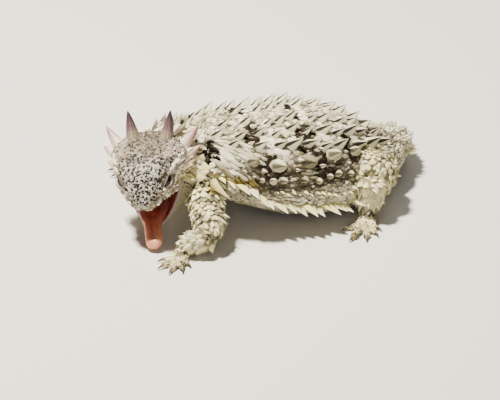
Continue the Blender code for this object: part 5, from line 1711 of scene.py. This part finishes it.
def build_jaw():
    """Lower jaw: a closed shell with a smooth pale rim and a wet red floor, with shields below it."""
    along, degrees = np.linspace(0.0, 1.0, 120), np.arange(0, 360, 2.0)
    a, d = grid_of(along, degrees)
    points, out, _ = form_of("jaw").lie(a, d)
    fold = np.where(d < 90, d, np.where(d < 270, 180 - d, d - 360))
    rim = np.exp(-((fold - 14) / 9.0) ** 2) * ramp(0.12, 0.22, a)
    first = cobble(points, 0.9, 111)[0]
    skirt = ramp(4.0, -8.0, fold)
    lift = 0.45 * rim + 0.18 * (0.6 - first) * skirt - 0.35 * ramp(30, 60, fold) * ramp(0.05, 0.2, a)
    points = points + out * (lift * (1 - ramp(0.97, 1.0, a)))[:, None]
    tone = mix(linear("B8AC92"), linear("E3DAC2"), (1.0 - ramp(0.2, 0.55, first)) * 0.9)
    tone = mix(tone, linear("6B5D48"), ramp(0.5, 0.7, first) * 0.4 * skirt)
    tone = mix(tone, HUES.lavender, np.exp(-((fold - 13) / 10.0) ** 2))
    floor_part = ramp(22, 32, fold)
    tone = mix(tone, mix(linear("6E2018"), HUES.maroon, ramp(0.75, 0.25, a) * 0.85), floor_part)
    hide_shell("jaw", along, degrees, points, tone, floor_part * 0.9, 0.5)
    _, left, up = jaw_axes()
    rows = [(start + span * k / (count - 1), angle, size * (top - fall * k / (count - 1)))
            for count, start, span, angle, size, top, fall in CHIN_ROWS for k in range(count)]
    along, degrees, length, side = both_sides(rows).T
    roots = head_roots("jaw", along, degrees, 112)
    lowest = np.abs(degrees - 90) > 130
    aim = unit(left * side[:, None] * 0.9 - up * (0.35 + 0.01 * lowest)[:, None] + roots["back"] * 0.45)
    sprout("chin_shields", roots, aim=aim, width=length * 0.42 + 0.25, length=length * 0.92, height=length,
           reach=length * 0.22)
    build_throat()


def build_throat():
    """The throat's back wall: a wrinkled ball with three half axes, sunk behind the hinge of the jaw."""
    rings, around = 40, 64
    p, q = grid_of(np.linspace(0, math.pi, rings), np.arange(around) / around * 2 * math.pi)
    down, left, up = jaw_axes()
    middle = jaw_hinge() + down * 1.2 + up * 0.9
    forward = unit(head_axes()[0] + down)
    ball = middle + left * (7.3 * np.cos(p))[:, None] + forward * (3.6 * np.sin(p) * np.cos(q))[:, None]
    ball = ball + np.cross(forward, left) * (3.4 * np.sin(p) * np.sin(q))[:, None]
    folds = grain(ball, 1.6, 113)
    ball = ball + unit(ball - middle) * ((folds - 0.5) * 0.5)[:, None]
    piece = new_mesh("throat", ball, sheet_faces(rings, around, True))
    paint_points(piece, mix(HUES.maroon * 0.75, linear("641A18"), folds * 0.6))
    merge_doubles(piece.data)
    finish_piece(piece, material("wet_tongue"), "tongue")


def build_tongue():
    """Tongue: a tube over its form, with a shallow groove along the top and fine cross folds."""
    tongue = tongue_form()
    rings, around = 110, 90
    points, quads, triangles = tube(tongue, rings, around)
    t, angle = grid_of(np.linspace(0, 1, rings), np.arange(around) * 360.0 / around)
    count = rings * around
    middle = smooth_curve(tongue.keys, tongue.centres, t)
    out = unit(points[:count] - middle)
    groove = np.exp(-((angle - 90) / 20.0) ** 2) * ramp(0.15, 0.3, t) * ramp(0.93, 0.75, t)
    folds = np.sin(t * 160.0 + 2.0 * grain(points[:count], 1.5, 121)) * 0.035 * ramp(0.9, 0.4, t)
    lump = (grain(points[:count], 1.3, 122) - 0.5) * 0.28
    points[:count] += out * (lump + folds - 0.34 * groove)[:, None]
    left = jaw_axes()[1]
    spread = 0.38 * ramp(0.10, 0.28, t) * ramp(0.66, 0.36, t) - 0.10 * ramp(0.70, 0.90, t)
    across = dot(points[:count] - middle, left)
    points[:count] += left * (across * spread[:, None] + 1.1 * ramp(0.45, 1.0, t)[:, None])
    tone = blend_of(("4A120E", "64201A", "8E3E2A", "C0704E", "D2906C"), (0.0, 0.35, 0.55, 0.75, 1.0), t)
    tone = mix(tone, linear("8E3420"), groove * 0.6)
    tip = ramp(0.55, 0.9, grain(points[:count], 1.1, 123)) * 0.25 * ramp(0.4, 0.7, t)
    piece = new_mesh("tongue_flesh", points, quads, triangles)
    paint_points(piece, with_ends(mix(tone, linear("C98258"), tip)))
    finish_piece(piece, material("wet_tongue"), "tongue", "tongue")


# A claw's path as (reach past the digit, height, radius), and its grid
CLAW_PATH = ((-0.9, 1.05, 0.50), (-0.2, 1.12, 0.50), (0.6, 0.98, 0.38), (1.4, 0.66, 0.22),
             (CLAW_LENGTH, 0.26, 0.05))
CLAW_RINGS, CLAW_AROUND = 14, 10


def build_claws():
    """Claws: slim tubes that curve down a little to a point level with the ground."""
    tubes = []
    for _, ankle, heading, length, _, digits, way in paws():
        for degrees, reach, _ in digits:
            away = turned(heading, degrees * way)
            start = np.array(ankle, float) * (1, 1, 0) + turned(heading, 0) * length * 0.72
            stations = [(start + away * (reach + s) + (0, 0, z), r * 0.8, r, r) for s, z, r in CLAW_PATH]
            tubes.append(tube(Sweep(stations, squareness=2.0), CLAW_RINGS, CLAW_AROUND))
    points, quads, triangles = joined_tubes(tubes)
    piece = new_mesh("claws", points, quads, triangles)
    t = np.tile(np.append(np.repeat(np.linspace(0, 1, CLAW_RINGS), CLAW_AROUND), (0, 1)), len(tubes))
    paint_points(piece, mix(linear("8A765B"), linear("2C211A"), ramp(0.1, 0.8, t)))
    finish_piece(piece, material("keratin_horn"), "dark_horn")


def stage_material(name, code, roughness):
    """Plain matt studio paper."""
    made, tree, shader = new_finish(name)
    node(tree, shader, {"Base Color": (*linear(code), 1.0), "Roughness": roughness})
    return made


def area_light(name, place, size, watts, code):
    """A round soft light that points at the middle of the animal."""
    light = bpy.data.lights.new(name, "AREA")
    light.shape = "DISK"
    light.size = size
    light.energy = watts
    light.color = linear(code)
    obj = bpy.data.objects.new(name, light)
    bpy.context.scene.collection.objects.link(obj)
    turn = (Vector(place) - Vector(LIGHT_TARGET)).to_track_quat("Z", "Y")
    obj.matrix_world = Matrix.Translation(Vector(place)) @ turn.to_matrix().to_4x4()


# The camera's axes, what its frame is wide at the animal, and where it aims along those axes
CAMERA_RIGHT = (0.342, 0.940, 0.0)
CAMERA_UP = (-0.441, 0.161, 0.883)
FRAME_WIDTH = 147.06
LENS_MM, SENSOR_MM = 200.0, 36.0
AIM_RIGHT, AIM_UP, AIM_NEAR = -7.94, -0.76, 12.0
# Lights as (name, place, size, watts, colour), in metres, and the place that they all point at
LIGHTS = (("key", (-0.10, -0.20, 0.68), 0.09, 22.5, "FFF8EC"),
          ("fill", (0.60, -0.15, 0.30), 0.50, 0.9, "F2F5FF"),
          ("back", (-0.45, 0.35, 0.45), 0.40, 1.0, "FFFFFF"))
LIGHT_TARGET = (0, 0, 0.01)


def build_stage():
    """Floor, camera, three lights and a faint sky."""
    scene = bpy.context.scene
    bpy.ops.mesh.primitive_plane_add(size=6.0, location=(0, 0, 0))
    floor = bpy.context.object
    floor.name = "studio_floor"
    floor.data.materials.append(stage_material("matt_paper", "CFCBC3", 0.9))
    toward = unit(np.cross(CAMERA_RIGHT, CAMERA_UP))
    right, up = unit(CAMERA_RIGHT), unit(np.cross(toward, CAMERA_RIGHT))
    aim = right * AIM_RIGHT + up * AIM_UP + toward * AIM_NEAR
    camera = bpy.data.cameras.new("photo_camera")
    camera.lens = LENS_MM
    camera.sensor_width = SENSOR_MM
    camera.clip_start, camera.clip_end = 0.05, 20.0
    eye = (aim + toward * (FRAME_WIDTH / SENSOR_MM * LENS_MM)) * MM
    obj = bpy.data.objects.new("photo_camera", camera)
    scene.collection.objects.link(obj)
    obj.matrix_world = Matrix([[right[k], up[k], toward[k], eye[k]] for k in range(3)] + [[0, 0, 0, 1]])
    scene.camera = obj
    for light in LIGHTS:
        area_light(*light)
    world = bpy.data.worlds.new("soft_studio")
    scene.world = world
    world.use_nodes = True
    sky = world.node_tree.nodes["Background"]
    sky.inputs["Color"].default_value = (0.92, 0.95, 1.0, 1.0)
    sky.inputs["Strength"].default_value = 0.13


def hue(name, words, code):
    """A colour that a user may change, from its sRGB hex default."""
    start = tuple(float(v) for v in linear(code))
    return FloatVectorProperty(name=name, description=words, subtype="COLOR", size=3, min=0.0, max=1.0,
                               default=start)


class LizardColours(bpy.types.PropertyGroup):
    """Colours of the hide that a user may change."""

    cream: hue("Cream", "Most of the scales of the back, the flanks and the legs", "E1DAB7")
    # Ivory also paints the highlight flecks on the head
    ivory: hue("Ivory", "Points of the scales and the rims behind the blotches", "F6F0DE")
    sand: hue("Sand", "Tan mottling of the hide", "A59A77")
    # Dust also paints the shade on the lower half of the flank domes
    dust: hue("Dust", "Grey-brown mottling of the back and the legs", "736B52")
    # Bark also browns the painted shade of the skin between the scales and of the scales' skirts
    bark: hue("Bark", "Dark brown of the blotches and the flank folds", "40331F")
    pitch: hue("Pitch", "Black of the streaks on the thorns", "060404")
    ochre: hue("Ochre", "Yellow folds over the shoulders", "8C7618")
    butter: hue("Butter", "Pale yellow of the fringe and the neck scales", "E9DC88")
    # Ash also paints the shade of the belly, and, mixed with sand, the shade on the thorns' rear faces
    ash: hue("Ash", "Greyish belly and shaded thorn roots", "958C76")
    maroon: hue("Maroon", "Inside of the mouth", "3C0C0E")
    lavender: hue("Lavender", "Rim of the lower jaw", "C9B6BE")


def read_colours(scene):
    """Takes the colours that the builders mix from the scene's own settings."""
    for key in LizardColours.__annotations__:
        setattr(HUES, key, np.array(getattr(scene.lizard_colours, key)))


class LizardSizes(bpy.types.PropertyGroup):
    """Sizes of the coat that a user may change."""

    skin_voxel: FloatProperty(
        name="Skin detail", description="Size of the cells that join the skin",
        default=0.43 * MM, min=0.2 * MM, max=2 * MM, precision=5, unit="LENGTH")
    thorn_height: FloatProperty(
        name="Thorn height", description="Height of the large thorns of the back",
        default=3.1 * MM, precision=5, unit="LENGTH")
    fringe_length: FloatProperty(
        name="Fringe length", description="Length of the long fringe on the flanks",
        default=4.0 * MM, precision=5, unit="LENGTH")
    granule_spacing: FloatProperty(
        name="Scale spacing", description="Least distance between the small scales",
        default=0.98 * MM, precision=5, unit="LENGTH")
    fringe_count: IntProperty(
        name="Fringe spikes", description="Spikes in each row of fringe on each side",
        default=20, min=5, max=60)


def build_body(sizes):
    """Works out the forms, the domed scales' places and the atlas, and lays the skin over the forms."""
    STATE.clear()
    STATE["forms"] = body_forms()
    along, degrees, size, _, _ = both_sides(DOMES).T
    STATE["dome_places"] = list(zip(form_of("trunk").points(along, degrees), size))
    build_atlas()
    build_skin(sizes.skin_voxel)


def built(context, build, *settings):
    """Builds one operator's pieces in the colours that the scene holds."""
    read_colours(context.scene)
    build(*settings)
    return {"FINISHED"}


class Piece:
    """What the operators share: each can be undone."""

    bl_options = {"REGISTER", "UNDO"}


class LIZARD_OT_stage(Piece, bpy.types.Operator):
    """Floor, lights and the camera of the photograph"""

    bl_idname = "lizard.stage"
    bl_label = "Stage"

    def execute(self, context):
        return built(context, build_stage)


class LIZARD_OT_skin(Piece, bpy.types.Operator):
    """One skin over trunk, neck, head, legs and tail"""

    bl_idname = "lizard.skin"
    bl_label = "Skin"

    def execute(self, context):
        return built(context, build_body, context.scene.lizard_sizes)


class LIZARD_OT_back(Piece, bpy.types.Operator):
    """Large and small keeled thorns of the back"""

    bl_idname = "lizard.back"
    bl_label = "Back thorns"

    def execute(self, context):
        return built(context, build_back, context.scene.lizard_sizes)


class LIZARD_OT_domes(Piece, bpy.types.Operator):
    """Domed scales along the flanks"""

    bl_idname = "lizard.domes"
    bl_label = "Flank scales"

    def execute(self, context):
        return built(context, build_domes)


class LIZARD_OT_fringe(Piece, bpy.types.Operator):
    """Two rows of flat spikes along each flank"""

    bl_idname = "lizard.fringe"
    bl_label = "Fringe"

    def execute(self, context):
        return built(context, build_fringe, context.scene.lizard_sizes)


class LIZARD_OT_neck(Piece, bpy.types.Operator):
    """Thorns of the nape and fans on the neck"""

    bl_idname = "lizard.neck"
    bl_label = "Nape"

    def execute(self, context):
        return built(context, build_neck)


class LIZARD_OT_flaps(Piece, bpy.types.Operator):
    """Large pointed scales on the sides of the neck"""

    bl_idname = "lizard.flaps"
    bl_label = "Neck scales"

    def execute(self, context):
        return built(context, build_flaps)


class LIZARD_OT_tail(Piece, bpy.types.Operator):
    """Spikes and thorns of the tail"""

    bl_idname = "lizard.tail"
    bl_label = "Tail"

    def execute(self, context):
        return built(context, build_tail)


class LIZARD_OT_limbs(Piece, bpy.types.Operator):
    """Scales and thorns of the legs"""

    bl_idname = "lizard.limbs"
    bl_label = "Legs"

    def execute(self, context):
        return built(context, build_limbs)


class LIZARD_OT_paws(Piece, bpy.types.Operator):
    """Scales of hands, feet and digits"""

    bl_idname = "lizard.paws"
    bl_label = "Hands and feet"

    def execute(self, context):
        return built(context, build_paws)


class LIZARD_OT_granules(Piece, bpy.types.Operator):
    """Small scales over trunk, neck and tail"""

    bl_idname = "lizard.granules"
    bl_label = "Small scales"

    def execute(self, context):
        return built(context, build_granules, context.scene.lizard_sizes.granule_spacing / MM)


class LIZARD_OT_head(Piece, bpy.types.Operator):
    """The head's rough hide"""

    bl_idname = "lizard.head"
    bl_label = "Head"

    def execute(self, context):
        return built(context, build_head)


class LIZARD_OT_eyes(Piece, bpy.types.Operator):
    """Eyeballs"""

    bl_idname = "lizard.eyes"
    bl_label = "Eyes"

    def execute(self, context):
        return built(context, build_eyes)


class LIZARD_OT_lids(Piece, bpy.types.Operator):
    """Upper and lower eyelids"""

    bl_idname = "lizard.lids"
    bl_label = "Eyelids"

    def execute(self, context):
        return built(context, build_lids)


class LIZARD_OT_face(Piece, bpy.types.Operator):
    """Lip scales, cheek scales and cheek spikes"""

    bl_idname = "lizard.face"
    bl_label = "Face scales"

    def execute(self, context):
        return built(context, build_face_scales)


class LIZARD_OT_jaw(Piece, bpy.types.Operator):
    """Jaw, chin shields and throat"""

    bl_idname = "lizard.jaw"
    bl_label = "Lower jaw"

    def execute(self, context):
        return built(context, build_jaw)


class LIZARD_OT_tongue(Piece, bpy.types.Operator):
    """The tongue"""

    bl_idname = "lizard.tongue"
    bl_label = "Tongue"

    def execute(self, context):
        return built(context, build_tongue)


class LIZARD_OT_horns(Piece, bpy.types.Operator):
    """The eight horns of the head"""

    bl_idname = "lizard.horns"
    bl_label = "Horns"

    def execute(self, context):
        return built(context, build_horns)


class LIZARD_OT_claws(Piece, bpy.types.Operator):
    """Claws of hands and feet"""

    bl_idname = "lizard.claws"
    bl_label = "Claws"

    def execute(self, context):
        return built(context, build_claws)


OPERATORS = (
    LIZARD_OT_stage, LIZARD_OT_skin, LIZARD_OT_back, LIZARD_OT_domes, LIZARD_OT_fringe, LIZARD_OT_neck,
    LIZARD_OT_flaps, LIZARD_OT_tail, LIZARD_OT_limbs, LIZARD_OT_paws, LIZARD_OT_granules, LIZARD_OT_head,
    LIZARD_OT_eyes, LIZARD_OT_lids, LIZARD_OT_face, LIZARD_OT_jaw, LIZARD_OT_tongue, LIZARD_OT_horns,
    LIZARD_OT_claws,
)


class LIZARD_PT_panel(bpy.types.Panel):
    """Lists the sizes and the pieces."""

    bl_label = "Horned lizard"
    bl_idname = "LIZARD_PT_panel"
    bl_space_type = "VIEW_3D"
    bl_region_type = "UI"
    bl_category = "Lizard"

    def draw(self, context):
        scene = context.scene
        for group, settings in ((LizardSizes, scene.lizard_sizes), (LizardColours, scene.lizard_colours)):
            for key in group.__annotations__:
                self.layout.prop(settings, key)
        for piece in OPERATORS:
            self.layout.operator(piece.bl_idname)


def register():
    """Makes the classes known and adds the settings to the scene."""
    for cls in (LizardSizes, LizardColours, *OPERATORS, LIZARD_PT_panel):
        bpy.utils.register_class(cls)
    bpy.types.Scene.lizard_sizes = PointerProperty(type=LizardSizes)
    bpy.types.Scene.lizard_colours = PointerProperty(type=LizardColours)


def unregister():
    """Takes the settings and the classes away again."""
    del bpy.types.Scene.lizard_sizes, bpy.types.Scene.lizard_colours
    for cls in (LIZARD_PT_panel, *OPERATORS[::-1], LizardColours, LizardSizes):
        bpy.utils.unregister_class(cls)


def main():
    """Builds everything in order."""
    register()
    for piece in OPERATORS:
        getattr(bpy.ops.lizard, piece.bl_idname.split(".")[1])()
    bpy.context.view_layer.update()


if __name__ == "__main__":
    main()
